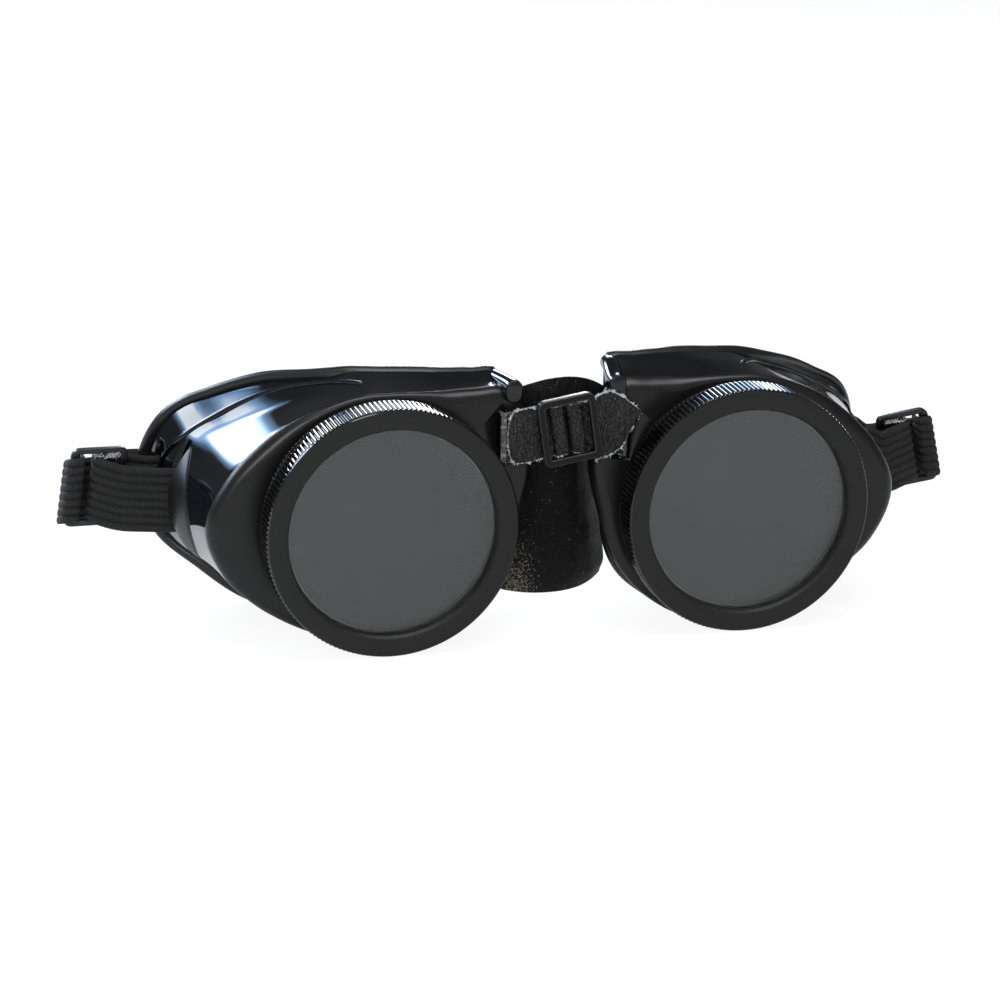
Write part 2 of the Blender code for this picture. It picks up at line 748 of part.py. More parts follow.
def strapTail(side):
    """Path of one leather strap: free end, over the buckle's bar, back, round the slot and in again."""
    bar = BUCKLE_BAR_SPACING / 2
    wrap = BUCKLE_BAR / 2 + CLEARANCE + STRAP_THICKNESS / 2
    slope = math.tan(math.radians(BRIDGE_TILT)) * side
    behind = plateBack + CLEARANCE + STRAP_THICKNESS / 2
    slot = strapSlotOut + STRAP_SLOT_WIDTH / 2
    end = STRAP_TAIL_END if side < 0 else ARROW_SHOULDER
    outerWidth = STRAP_END_WIDTH if side < 0 else STRAP_WIDTH

    def station(out, depth, width, lean):
        height = strapHeight + BUCKLE_UP * (1 - out / slot) + slope * out
        return (out, depth, height, width, lean * slope, STRAP_THICKNESS / 2)

    return [
        station(end, strapUpper, outerWidth, 0),
        station(BUCKLE_WIDTH / 2, strapUpper, STRAP_WAIST_WIDTH, -1),
        station(bar + wrap, strapUpper, STRAP_WAIST_WIDTH, -1),
        station(bar + wrap, humpCentre, STRAP_WAIST_WIDTH, -1),
        station(bar - wrap, humpCentre, STRAP_WAIST_WIDTH, -1),
        station(bar - wrap, strapLower, STRAP_WAIST_WIDTH, -1),
        station(BUCKLE_WIDTH / 2, strapLower, STRAP_WAIST_WIDTH, -1),
        (slot, strapLower, slotHeight, STRAP_END_WIDTH, 0, STRAP_THICKNESS / 2),
        (slot, behind, slotHeight, STRAP_END_WIDTH, 0, STRAP_THICKNESS / 2),
        (slot + STRAP_STOP, behind, slotHeight, STRAP_END_WIDTH, 0, STRAP_THICKNESS / 2),
    ]


def makeStrap(side, name, parent):
    bm = ribbon(rounded(strapTail(side)), STRAP_THICKNESS)
    strap = finish(name, bm, (0, 0, 0), parent, LEATHER_BLACK, side < 0)
    if side > 0:
        rise = math.tan(math.radians(BRIDGE_TILT))
        middle = strapHeight + rise * ARROW_SHOULDER
        top, bottom = middle + STRAP_WIDTH / 2, middle - STRAP_WIDTH / 2
        start = BUCKLE_WIDTH / 2
        points = (
            (start, bottom),
            (ARROW_SHOULDER + STRAP_SLOT_WIDTH, bottom + STRAP_SLOT_WIDTH),
            (ARROW_TIP, middle + STRAP_THICKNESS),
            (ARROW_SHOULDER, top),
            (start, top),
        )
        half = STRAP_THICKNESS / 2
        arrow = slab(points, strapUpper - half, strapUpper + half)
        combine(strap, helper(name + "_arrow", arrow, (0, 0, 0), parent), "UNION")
    return strap


def makeBuckle(at, parent):
    frame = slab(
        roundedFrame(BUCKLE_WIDTH, BUCKLE_HEIGHT, BUCKLE_CORNER, CORNER_STEPS),
        buckleFront - pivotBack,
        buckleBack - pivotBack,
    )
    inner = slab(
        roundedFrame(
            BUCKLE_WIDTH - 2 * BUCKLE_RAIL,
            BUCKLE_HEIGHT - 2 * BUCKLE_RAIL,
            BUCKLE_CORNER / 2,
            CORNER_STEPS,
        ),
        buckleFront - pivotBack - CUT_OVERRUN,
        buckleBack - pivotBack + CUT_OVERRUN,
    )
    tilt = Matrix.Rotation(-math.radians(BRIDGE_TILT), 4, "Y")
    bmesh.ops.transform(frame, matrix=tilt, verts=frame.verts)
    bmesh.ops.transform(inner, matrix=tilt, verts=inner.verts)
    buckle = finish("bridge_buckle", frame, at, parent, SATIN_BLACK)
    combine(buckle, helper("buckle_window", inner, at, parent), "DIFFERENCE")
    window = BUCKLE_HEIGHT / 2 - BUCKLE_RAIL
    reach = window + BUCKLE_RAIL / 2
    front = buckleFront + CLEARANCE - pivotBack
    ahead = barBack - BUCKLE_BAR - pivotBack
    back = barBack - pivotBack
    post = window + CLEARANCE
    half = ((back, reach), (front, reach), (front, post), (ahead, post))
    outline = half + tuple((depth, -up) for depth, up in reversed(half))
    for word, out in (("left", -1), ("right", 1)):
        low = (out * BUCKLE_BAR_SPACING - BUCKLE_BAR) / 2
        bar = bmesh.new()
        loops = [
            [bar.verts.new((x, depth, up)) for depth, up in outline]
            for x in (low, low + BUCKLE_BAR)
        ]
        closeLoops(bar, loops, False)
        bar.faces.new(loops[0])
        bar.faces.new(loops[1])
        outwards(bar)
        bmesh.ops.transform(bar, matrix=tilt, verts=bar.verts)
        combine(buckle, helper("buckle_bar_" + word, bar, at, parent), "UNION")
    return buckle


def makeNosePad(at, parent):
    """Saddle of padded leather, bulged ahead, wider below, and drawn in at its four sides."""
    bm = bmesh.new()
    loops = []
    for row in range(PAD_ROWS + 1):
        v = row / PAD_ROWS
        fall = v * v * (3 - 2 * v)
        half = PAD_TOP_HALF + (PAD_BOTTOM_HALF - PAD_TOP_HALF) * fall
        front = padTopFront + (padBottomFront - padTopFront) * fall
        loop = []
        for face in (1, -1):
            columns = range(PAD_COLUMNS + 1) if face > 0 else range(PAD_COLUMNS, -1, -1)
            for column in columns:
                u = 2 * column / PAD_COLUMNS - 1
                droop = (1 - u * u) * math.cos(math.pi * v)
                crown = (1 - u**4) * (1 - (2 * v - 1) ** 4)
                z = padTop - (padTop + padBottom) * v - (1 - droop) * PAD_CROWN
                middle = front + PAD_SAG * u * u + PAD_THICKNESS / 2
                deep = PAD_THICKNESS / 2 * EDGE_SHARE + PAD_CROWN * crown
                loop.append(bm.verts.new((half * u, middle - face * deep - at[1], z)))
        loops.append(loop)
    closeLoops(bm, loops, False)
    bm.faces.new(loops[0])
    bm.faces.new(loops[-1])
    outwards(bm)
    return finish("nose_pad", bm, at, parent, LEATHER_BLACK)


def build():
    clearScene()
    origin = empty("goggles_origin", (0, 0, 0))
    pivot = empty("bridge_pivot", (0, pivotBack, 0), origin)
    for side, word, parent in ((-1, "left", origin), (1, "right", pivot)):
        at = (side * lensOut, 0, 0)
        makeCup(side, word + "_cup", at, parent)
        makeLensSide(word, at, parent)
        makeSlider(word, (side * sliderMiddle, sliderBack, SLIDER_UP), parent)
        loop = ribbon(rounded(loopPath()), BAND_THICKNESS)
        finish(word + "_strap_loop", loop, (0, 0, 0), parent, ELASTIC_BLACK, side < 0)
    makeStrap(-1, "left_bridge_strap", pivot)
    makeStrap(1, "right_bridge_strap", pivot)
    makeBuckle((0, pivotBack, strapHeight + BUCKLE_UP), pivot)
    makeNosePad((0, pivotBack, 0), pivot)
    band = ribbon(rounded(headbandPath()), BAND_THICKNESS)
    finish("headband", band, (0, 0, 0), origin, ELASTIC_BLACK)
    origin.location = (0, -middleBack, floorDrop)


build()
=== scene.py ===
import math
import random

import bmesh
import bpy
from mathutils import Matrix, Vector, noise
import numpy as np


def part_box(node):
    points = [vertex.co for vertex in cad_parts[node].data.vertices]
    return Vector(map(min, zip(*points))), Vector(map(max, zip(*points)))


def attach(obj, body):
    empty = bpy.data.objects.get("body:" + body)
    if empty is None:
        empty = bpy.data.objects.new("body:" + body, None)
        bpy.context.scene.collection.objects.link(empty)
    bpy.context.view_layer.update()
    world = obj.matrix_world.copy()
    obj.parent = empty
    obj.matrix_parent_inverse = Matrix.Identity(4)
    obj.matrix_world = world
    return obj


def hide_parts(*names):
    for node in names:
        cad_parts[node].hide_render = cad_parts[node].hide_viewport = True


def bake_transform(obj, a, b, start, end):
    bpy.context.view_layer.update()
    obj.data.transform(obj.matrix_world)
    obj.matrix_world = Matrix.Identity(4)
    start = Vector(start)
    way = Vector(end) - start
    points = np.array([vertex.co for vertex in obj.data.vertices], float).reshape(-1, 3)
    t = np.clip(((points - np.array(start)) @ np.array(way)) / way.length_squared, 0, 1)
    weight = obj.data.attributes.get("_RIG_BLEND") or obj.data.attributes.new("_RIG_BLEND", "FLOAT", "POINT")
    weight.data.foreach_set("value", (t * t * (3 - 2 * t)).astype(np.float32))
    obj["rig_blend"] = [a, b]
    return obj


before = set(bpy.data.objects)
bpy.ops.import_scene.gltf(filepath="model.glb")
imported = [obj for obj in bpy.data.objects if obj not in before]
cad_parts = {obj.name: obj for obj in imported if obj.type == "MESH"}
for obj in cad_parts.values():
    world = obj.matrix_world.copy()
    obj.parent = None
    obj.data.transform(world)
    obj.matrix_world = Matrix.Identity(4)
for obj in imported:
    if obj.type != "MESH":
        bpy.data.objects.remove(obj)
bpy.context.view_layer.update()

mm = 0.001

# Shapes are drawn in millimetres: x from the bridge outwards, y back from the ring fronts,
# z up from the lens centres. The frame says where that is and how big the rings are.
ringLow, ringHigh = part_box("right_screw_ring")
lensOut = (ringLow.x + ringHigh.x) / 2 / mm
ringRadius = (ringHigh.x - ringLow.x) / 2 / mm
ringDepth = (ringHigh.y - ringLow.y) / mm
frontY = ringLow.y
lensZ = (ringLow.z + ringHigh.z) / 2
lensRadius = (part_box("right_cover_lens")[1].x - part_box("right_cover_lens")[0].x) / 2 / mm
toWorld = Matrix.Translation((0, frontY, lensZ)) @ Matrix.Scale(mm, 4)
sides = ((-1, "left"), (1, "right"))
gap = 0.3  # running clearance of the solids


def worldPoint(x, y, z):
    return toWorld @ Vector((x, y, z))


def smooth(low, high, value):
    t = min(max((value - low) / (high - low), 0), 1)
    return t * t * (3 - 2 * t)


# Mesh helpers
def startMesh():
    bm = bmesh.new()
    bm.verts.layers.int.new("column")
    bm.verts.layers.float.new("along")
    bm.verts.layers.float.new("across")
    return bm


# Pulls a circle's edges from loop to loop; marks hold (along, across) for the patterned materials
def loft(bm, loops, looks=(0,), closed=False, marks=None):
    column = bm.verts.layers.int["column"]
    along = bm.verts.layers.float["along"]
    across = bm.verts.layers.float["across"]
    count = len(loops[0])
    verts = bmesh.ops.create_circle(bm, segments=count, radius=1)["verts"]
    for i, v in enumerate(verts):
        v[column] = i
        v.co = loops[0][i]
        if marks:
            v[along], v[across] = marks[0][i]
    edges = [bm.edges.get((verts[i], verts[(i + 1) % count])) for i in range(count)]
    first = edges
    rest = list(enumerate(loops))[1:] + ([(0, loops[0])] if closed else [])
    for k, (source, points) in enumerate(rest):
        made = bmesh.ops.extrude_edge_only(bm, edges=edges)["geom"]
        edges = [g for g in made if isinstance(g, bmesh.types.BMEdge)]
        for g in made:
            if isinstance(g, bmesh.types.BMVert):
                g.co = points[g[column]]
                if marks:
                    g[along], g[across] = marks[source][g[column]]
            elif isinstance(g, bmesh.types.BMFace):
                g.material_index = looks[min(k, len(looks) - 1)]
    if closed:
        bmesh.ops.remove_doubles(bm, verts=bm.verts, dist=0.0005)
    else:
        caps = bmesh.ops.holes_fill(bm, edges=first + edges, sides=0)["faces"]
        for face in caps:
            face.material_index = looks[-1]


def toObject(name, bm, side=1, materials=(), angle=35):
    if side < 0:
        bmesh.ops.scale(bm, vec=(-1, 1, 1), verts=bm.verts)
    bmesh.ops.transform(bm, matrix=toWorld, verts=bm.verts)
    bmesh.ops.recalc_face_normals(bm, faces=bm.faces)
    bm.verts.layers.int.remove(bm.verts.layers.int["column"])
    mesh = bpy.data.meshes.new(name)
    bm.to_mesh(mesh)
    bm.free()
    for look in materials:
        mesh.materials.append(look)
    mesh.shade_smooth()
    mesh.set_sharp_from_angle(angle=math.radians(angle))
    obj = bpy.data.objects.new(name, mesh)
    bpy.context.scene.collection.objects.link(obj)
    return obj


# Cuts the shapes out of the piece and leaves its finished mesh
def carve(obj, cutters):
    for cutter in cutters:
        cut = obj.modifiers.new(cutter.name, "BOOLEAN")
        cut.operation = "DIFFERENCE"
        cut.solver = "EXACT"
        cut.object = cutter
    graph = bpy.context.evaluated_depsgraph_get()
    obj.data = bpy.data.meshes.new_from_object(obj.evaluated_get(graph))
    obj.modifiers.clear()
    for cutter in cutters:
        bpy.data.objects.remove(cutter)


# Loops of (out, up) sections, one for each point of a path, carried along without twist
def sweepLoops(path, sections):
    loops = []
    up = Vector((0, 0, 1))
    for i, here in enumerate(path):
        run = (path[min(i + 1, len(path) - 1)] - path[max(i - 1, 0)]).normalized()
        side = run.cross(up).normalized()
        up = side.cross(run).normalized()
        loops.append([here + side * a + up * b for a, b in sections[i]])
    return loops


def roundSection(radius, count):
    turns = [2 * math.pi * i / count for i in range(count)]
    return [(radius * math.cos(t), radius * math.sin(t)) for t in turns]


# Loops of a flat frame: its section goes round the outline; inset moves the outline's right side in
def frameLoops(outline, section, inset=0):
    loops = []
    for i, (x, z) in enumerate(outline):
        before, after = outline[i - 1], outline[(i + 1) % len(outline)]
        run = Vector((after[0] - before[0], 0, after[1] - before[1])).normalized()
        out = Vector((run.z, 0, -run.x))
        x -= inset * (x > 0)
        loops.append([Vector((x, 0, z)) + out * a + Vector((0, b, 0)) for a, b in section])
    return loops


# One loose fibre, thinner towards its tip: hair holds places along it and its sizes there
def addHair(bm, hair, radius, start, run, curl, reach):
    points = [start + (run + curl * t) * reach * t for t in hair["places"]]
    loft(bm, sweepLoops(points, [roundSection(radius * size, 4) for size in hair["sizes"]]))


def roundedRectangle(width, height, corner, steps):
    points = []
    for k, (sx, sz) in enumerate(((1, 1), (-1, 1), (-1, -1), (1, -1))):
        for i in range(steps + 1):
            turn = math.pi / 2 * (k + i / steps)
            x = sx * (width / 2 - corner) + corner * math.cos(turn)
            points.append((x, sz * (height / 2 - corner) + corner * math.sin(turn)))
    return points


def mixed(a, b, t):
    return tuple(p + (q - p) * t for p, q in zip(a, b))


# Between two places, for numbers and vectors, with the slopes that it has there
def curve(first, last, slopeIn, slopeOut, t):
    start = (2 * t**3 - 3 * t**2 + 1) * first + (t**3 - 2 * t**2 + t) * slopeIn
    return start + (3 * t**2 - 2 * t**3) * last + (t**3 - t**2) * slopeOut


# Corners are (x, y, z, width, lean, bend); every corner is turned in plan within its bend's length
def bendPath(corners, steps=6):
    path = [corners[0][:5]]
    for before, here, after in zip(corners, corners[1:], corners[2:]):
        runIn = math.dist(before[:2], here[:2])
        runOut = math.dist(after[:2], here[:2])
        cut = min(here[5], runIn / 2, runOut / 2)
        middle = here[:5]
        first = mixed(middle, before, cut / runIn)
        last = mixed(middle, after, cut / runOut)
        for i in range(steps + 1):
            t = i / steps
            path.append(mixed(mixed(first, middle, t), mixed(middle, last, t), t))
    path.append(corners[-1][:5])
    return path


def fineSteps(path, step):
    fine = [path[0]]
    for here, after in zip(path, path[1:]):
        count = max(1, round(math.dist(here[:3], after[:3]) / step))
        fine += [mixed(here, after, (i + 1) / count) for i in range(count)]
    return fine


# Height of a leather's folds at a place: a fold is its height, its waves each way and a seed
def foldHeight(folds, one, other, way=1, shift=0):
    height = 0
    for size, waves, otherWaves, seed in folds:
        height += size * noise.noise(Vector((one * waves, other * otherWaves, seed * way + shift)))
    return height


# Upright strap: halfDepth gives the half thickness at a share across, wave moves the surface
def strapLoops(path, columns, halfDepth, wave=None):
    loops, marks = [], []
    length = 0
    for k, (x, y, z, width, lean) in enumerate(path):
        before, after = path[max(k - 1, 0)], path[min(k + 1, len(path) - 1)]
        run = Vector((after[0] - before[0], after[1] - before[1], 0)).normalized()
        out = Vector((run.y, -run.x, 0))
        if k:
            length += math.dist((x, y, z), path[k - 1][:3])
        loop, mark = [], []
        for face in (1, -1):
            for j in range(columns + 1):
                v = face * (2 * j / columns - 1)
                up = v * width / 2
                deep = face * halfDepth(v)
                if wave:
                    deep += wave(length, up)
                loop.append(Vector((x + lean * up, y, z + up)) + out * deep)
                mark.append((length, v))
        loops.append(loop)
        marks.append(mark)
    return loops, marks


# Shader nodes. Inputs are given by name or place, each as a value or as the output that feeds it
def feed(tree, node, inputs):
    for label, value in inputs.items():
        if isinstance(value, bpy.types.NodeSocket):
            tree.links.new(value, node.inputs[label])
        else:
            node.inputs[label].default_value = value


def add(tree, kind, inputs=None, **settings):
    node = tree.nodes.new("ShaderNode" + kind)
    for name, value in settings.items():
        setattr(node, name, value)
    feed(tree, node, inputs or {})
    return node


def calculate(tree, operation, *values):
    return add(tree, "Math", dict(enumerate(values)), operation=operation).outputs[0]


def vectorMath(tree, operation, *values):
    node = add(tree, "VectorMath", dict(enumerate(values)), operation=operation)
    return node.outputs["Value" if operation in ("LENGTH", "DOT_PRODUCT") else "Vector"]


def mapRange(tree, value, start=(0, 1), end=(0, 1), **settings):
    ends = {"From Min": start[0], "From Max": start[1], "To Min": end[0], "To Max": end[1]}
    return add(tree, "MapRange", {"Value": value, **ends}, **settings).outputs["Result"]


def noiseMap(tree, place, scale, detail, distortion=0):
    inputs = {"Vector": place, "Scale": scale, "Detail": detail, "Distortion": distortion}
    return add(tree, "TexNoise", inputs).outputs


def mixColours(tree, share, first, second):
    return add(tree, "Mix", {"Factor": share, "A": first, "B": second}, data_type="RGBA").outputs["Result"]


def mixShaders(tree, share, first, second):
    return add(tree, "MixShader", {0: share, 1: first.outputs[0], 2: second.outputs[0]}).outputs[0]


# What a strap or frame is marked with along or across it
def markOf(tree, name):
    return add(tree, "Attribute", attribute_name=name).outputs["Fac"]


# Camera, light and floor
cameraPlace = {
    "location": (-0.2233, -0.7356, 0.2669),
    "turn": (72.42, -1.41, -15.885),  # degrees about x, y and z
    "lens": 126,
    "sensor": 36,
}


def makeCamera():
    data = bpy.data.cameras.new("camera")
    data.lens = cameraPlace["lens"]
    data.sensor_width = cameraPlace["sensor"]
    camera = bpy.data.objects.new("camera", data)
    camera.location = cameraPlace["location"]
    camera.rotation_euler = [math.radians(a) for a in cameraPlace["turn"]]
    bpy.context.scene.collection.objects.link(camera)
    bpy.context.scene.camera = camera


# Three softboxes behind make the white patches on the temple wall and the strokes on the knurl
lamps = {
    "overhead": {"at": (0.05, -0.15, 0.95), "aim": (0, 0, 0.03), "size": (0.8, 0.55), "power": 6.0},
    "ahead": {"at": (-0.45, -0.85, 0.55), "aim": (0, 0, 0.03), "size": (0.4, 0.4), "power": 3.4},
    "behindLeft": {
        "at": (-0.323, 0.72, 0.311),
        "aim": (-0.078, 0.008, 0.04),
        "size": (0.5, 0.25),
        "turn": 61,
        "power": 6.7,
        "soft": True,
    },
    "farLeft": {
        "at": (-0.58, 0.44, 0.404),
        "aim": (-0.078, 0.008, 0.04),
        "size": (0.74, 0.32),
        "power": 8.6,
        "tint": (0.82, 0.91, 1),
        "soft": True,
    },
    "behindRight": {
        "at": (0.19, 0.73, 0.272),
        "aim": (0, 0, 0.05),
        "size": (0.36, 0.25),
        "power": 4.8,
        "soft": True,
    },
}
# colours of a softbox from its middle to its edge
glow = ((0.45, (1, 1, 1)), (0.55, (0.3, 0.45, 0.68)), (0.75, (0.06, 0.1, 0.16)), (1.0, (0, 0, 0)))


# A softbox is white in its middle, and dim and bluish round that
def softenLamp(data):
    data.use_nodes = True
    tree = data.node_tree
    place = add(tree, "NewGeometry").outputs["Parametric"]
    middle = vectorMath(tree, "MULTIPLY_ADD", place, (2, 2, 0), (-1, -1, 0))
    far = vectorMath(tree, "LENGTH", vectorMath(tree, "MULTIPLY", middle, middle))
    tint = add(tree, "ValToRGB", {"Fac": calculate(tree, "SQRT", far)})
    steps = tint.color_ramp.elements
    while len(steps) < len(glow):
        steps.new(0.5)
    for step, (spot, colour) in zip(steps, glow):
        step.position = spot
        step.color = (*colour, 1)
    feed(tree, tree.nodes["Emission"], {"Color": tint.outputs["Color"]})


def makeLamps():
    for name, lamp in lamps.items():
        data = bpy.data.lights.new(name, "AREA")
        data.shape = "RECTANGLE"
        data.size, data.size_y = lamp["size"]
        data.energy = lamp["power"]
        data.color = lamp.get("tint", (1, 1, 1))
        if "soft" in lamp:
            softenLamp(data)
        obj = bpy.data.objects.new(name, data)
        obj.location = lamp["at"]
        aim = Vector(lamp["aim"]) - Vector(lamp["at"])
        roll = Matrix.Rotation(math.radians(lamp.get("turn", 0)), 3, "Z")
        obj.rotation_euler = (aim.to_track_quat("-Z", "Y").to_matrix() @ roll).to_euler()
        obj.visible_camera = False
        bpy.context.scene.collection.objects.link(obj)


backdrop = {
    "towards": (-0.35, -0.85, 0.4),
    "studio": (0.03, 0.26),  # light of the studio behind the goggles and ahead of them
    "studioSpan": (-0.1, 0.9),
    "around": (0.07, 0.3),  # share of the white surround that reflections show, behind and ahead
    "aroundSpan": (-0.4, 0.5),
    "glossy": 0.245,  # share of the white floor that they show
    "floorSize": 1.6,
    "floorColour": (0.74, 0.74, 0.74, 1),
    "floorWhite": 0.8,  # share of white that the camera sees on the floor, over its lit paper
    "floorGlow": 1.15,
}


# How much of the white surround a ray meets: all for the camera and through glass, a share by reflection
def whiteShare(tree, whole, mirror):
    rays = add(tree, "LightPath").outputs
    mirrored = calculate(tree, "MULTIPLY", rays["Is Glossy Ray"], mirror)
    direct = calculate(tree, "MAXIMUM", rays["Is Camera Ray"], rays["Is Transmission Ray"])
    return calculate(tree, "MAXIMUM", calculate(tree, "MULTIPLY", direct, whole), mirrored)


def makeWorld():
    world = bpy.data.worlds.new("studio")
    world.use_nodes = True
    bpy.context.scene.world = world
    tree = world.node_tree
    tree.nodes.clear()
    place = add(tree, "TexCoord").outputs["Generated"]
    facing = vectorMath(tree, "DOT_PRODUCT", place, Vector(backdrop["towards"]).normalized())
    soft = {"interpolation_type": "SMOOTHSTEP"}
    strength = mapRange(tree, facing, backdrop["studioSpan"], backdrop["studio"], **soft)
    mirror = mapRange(tree, facing, backdrop["aroundSpan"], backdrop["around"], **soft)
    light = add(tree, "Background", {"Color": (1, 1, 1, 1), "Strength": strength})
    seen = add(tree, "Background", {"Color": (1, 1, 1, 1), "Strength": 1})
    add(tree, "OutputWorld", {"Surface": mixShaders(tree, whiteShare(tree, 1, mirror), light, seen)})


def makeFloor():
    bm = bmesh.new()
    bmesh.ops.create_circle(bm, cap_ends=True, segments=96, radius=backdrop["floorSize"])
    mesh = bpy.data.meshes.new("floor")
    bm.to_mesh(mesh)
    bm.free()
    floor = bpy.data.objects.new("floor", mesh)
    bpy.context.scene.collection.objects.link(floor)
    look = bpy.data.materials.new("paleFloor")
    look.use_nodes = True
    tree = look.node_tree
    tree.nodes.clear()
    paper = add(tree, "BsdfDiffuse", {"Color": backdrop["floorColour"]})
    white = add(tree, "Emission", {"Strength": backdrop["floorGlow"]})
    share = whiteShare(tree, backdrop["floorWhite"], backdrop["glossy"])
    add(tree, "OutputMaterial", {"Surface": mixShaders(tree, share, paper, white)})
    mesh.materials.append(look)


# Materials. A group's inputs are numbers, or the place where there is None
def group(name, inputs, outputs):
    tree = bpy.data.node_groups.new(name, "ShaderNodeTree")
    for label, value in inputs.items():
        if value is None:
            tree.interface.new_socket(label, in_out="INPUT", socket_type="NodeSocketVector")
        else:
            socket = tree.interface.new_socket(label, in_out="INPUT", socket_type="NodeSocketFloat")
            socket.default_value = value
    for label in outputs:
        tree.interface.new_socket(label, in_out="OUTPUT", socket_type="NodeSocketFloat")
    return tree, tree.nodes.new("NodeGroupInput").outputs, tree.nodes.new("NodeGroupOutput")


# Fine texture of moulded plastic, with faint rub marks
def makeMouldGroup():
    inputs = {"Vector": None, "Grain": 2500.0, "Low": 0.3, "High": 0.4}
    tree, given, put = group("mouldGrain", inputs, ("Roughness", "Height"))
    broad = noiseMap(tree, given["Vector"], scale=90, detail=5)["Fac"]
    fine = noiseMap(tree, given["Vector"], scale=given["Grain"], detail=3)["Fac"]
    rough = mapRange(tree, broad, start=(0.35, 0.65), end=(given["Low"], given["High"]))
    feed(tree, put, {"Roughness": rough, "Height": fine})
    return tree


# Pebbled hide: raised cells between creases. Creases also sets the leathers' tint, as painted shade in the
# low creases
def makeHideGroup():
    inputs = {"Vector": None, "Cells": 1100.0, "Crease": 160.0, "Stretch": 1.0}
    tree, given, put = group("hideGrain", inputs, ("Height", "Creases"))
    warp = noiseMap(tree, given["Vector"], scale=400, detail=2)["Color"]
    bent = vectorMath(tree, "MULTIPLY_ADD", warp, (0.0006, 0.0006, 0.0006), given["Vector"])
    cells = add(tree, "TexVoronoi", {"Vector": bent, "Scale": given["Cells"]}, feature="DISTANCE_TO_EDGE")
    drawn = add(tree, "CombineXYZ", {"X": 1, "Y": 1, "Z": given["Stretch"]}).outputs["Vector"]
    long = vectorMath(tree, "MULTIPLY", given["Vector"], drawn)
    crease = noiseMap(tree, long, scale=given["Crease"], detail=6, distortion=1.2)["Fac"]
    rise = mapRange(tree, cells.outputs["Distance"], start=(0, 0.16))
    feed(tree, put, {"Height": calculate(tree, "MULTIPLY_ADD", crease, 3.2, rise), "Creases": crease})
    return tree


# Knitted elastic: ribs along the band with fine slanted stitches on them. Thread marks the rib and stitch
# crests, which are painted paler as a painted highlight
def makeWebGroup():
    inputs = {"Along": 0.0, "Across": 0.0, "Stitch": 16.0, "Ribs": 8.0}
    tree, given, put = group("elasticWeave", inputs, ("Height", "Thread"))

    def step(*values):
        return calculate(tree, *values)

    turn = step("MULTIPLY", step("MULTIPLY", step("ADD", given["Across"], 1), given["Ribs"]), math.pi / 2)
    rib = step("ABSOLUTE", step("SINE", turn))
    slant = step("MULTIPLY", step("COSINE", turn), 0.8)
    knit = step("SINE", step("ADD", step("MULTIPLY", given["Along"], given["Stitch"]), slant))
    stitch = step("MULTIPLY_ADD", knit, 0.5, 0.5)
    high = step("MULTIPLY_ADD", stitch, 0.6, 0.4)
    pale = step("MULTIPLY", step("POWER", rib, 1.5), stitch)
    feed(tree, put, {"Height": step("MULTIPLY", rib, high), "Thread": pale})
    return tree


# Pale fibres where a strap was cut: its two long edges and its free end. A fold marked as an edge turns pale
# too, as a painted highlight
def makeEdgeGroup():
    inputs = {"Vector": None, "Along": 0.0, "Across": 0.0, "Start": 0.86, "End Length": 0.2}
    tree, given, put = group("cutEdge", inputs, ("Bare",))
    spots = noiseMap(tree, given["Vector"], scale=1600, detail=4)["Fac"]
    side = mapRange(tree, calculate(tree, "ABSOLUTE", given["Across"]), start=(given["Start"], 1))
    end = mapRange(tree, given["Along"], start=(given["End Length"], 0))
    near = calculate(tree, "MAXIMUM", side, end)
    bare = mapRange(tree, calculate(tree, "MULTIPLY", near, spots), start=(0.38, 0.52))
    feed(tree, put, {"Bare": bare})
    return tree


groups = {
    "mould": makeMouldGroup(),
    "hide": makeHideGroup(),
    "web": makeWebGroup(),
    "edge": makeEdgeGroup(),
}


def newMaterial(name):
    look = bpy.data.materials.new(name)
    look.use_nodes = True
    return look, look.node_tree, look.node_tree.nodes["Principled BSDF"]


def addGroup(tree, which, **inputs):
    node = add(tree, "Group", node_tree=groups[which])
    feed(tree, node, inputs)
    if "Vector" in node.inputs.keys():
        feed(tree, node, {"Vector": add(tree, "TexCoord").outputs["Object"]})
    return node.outputs


def addBump(tree, shader, height, distance):
    bump = add(tree, "Bump", {"Distance": distance, "Strength": 1, "Height": height})
    feed(tree, shader, {"Normal": bump.outputs["Normal"]})


# Roughness runs from low to high. Corners marked across are paler, for rub wear and as a painted highlight
# along the edges
def plastic(name, colour, low, high, grain, bump, specular=0.5, rubAndHighlight=None):
    look, tree, shader = newMaterial(name)
    feed(tree, shader, {"Base Color": (*colour, 1), "Specular IOR Level": specular})
    if rubAndHighlight:
        tint = mixColours(tree, markOf(tree, "across"), (*colour, 1), (*rubAndHighlight, 1))
        feed(tree, shader, {"Base Color": tint})
    mould = addGroup(tree, "mould", Grain=grain, Low=low, High=high)
    feed(tree, shader, {"Roughness": mould["Roughness"]})
    addBump(tree, shader, mould["Height"], bump)
    return look


# painted highlight on the nose pad: speckled glints on its grain, painted into its colour
glintSpots = {"grain": 2400, "fade": (0.16, -0.12), "speck": (0.55, 0.72)}


# Painted highlight: bright glints painted on the grain round a place, both as (along, across)
def addPaintedGlints(tree, hide, place, spread, colour):
    marks = {"X": markOf(tree, "along"), "Y": markOf(tree, "across")}
    spot = add(tree, "CombineXYZ", marks).outputs["Vector"]
    shrink = (1 / spread[0], 1 / spread[1], 0)
    shift = (-place[0] / spread[0], -place[1] / spread[1], 0)
    far = vectorMath(tree, "LENGTH", vectorMath(tree, "MULTIPLY_ADD", spot, shrink, shift))
    fade = mapRange(tree, far, end=glintSpots["fade"])
    grain = noiseMap(tree, add(tree, "TexCoord").outputs["Object"], scale=glintSpots["grain"], detail=3)["Fac"]
    speck = mapRange(tree, calculate(tree, "ADD", grain, fade), start=glintSpots["speck"])
    return mixColours(tree, speck, hide, (*colour, 1))
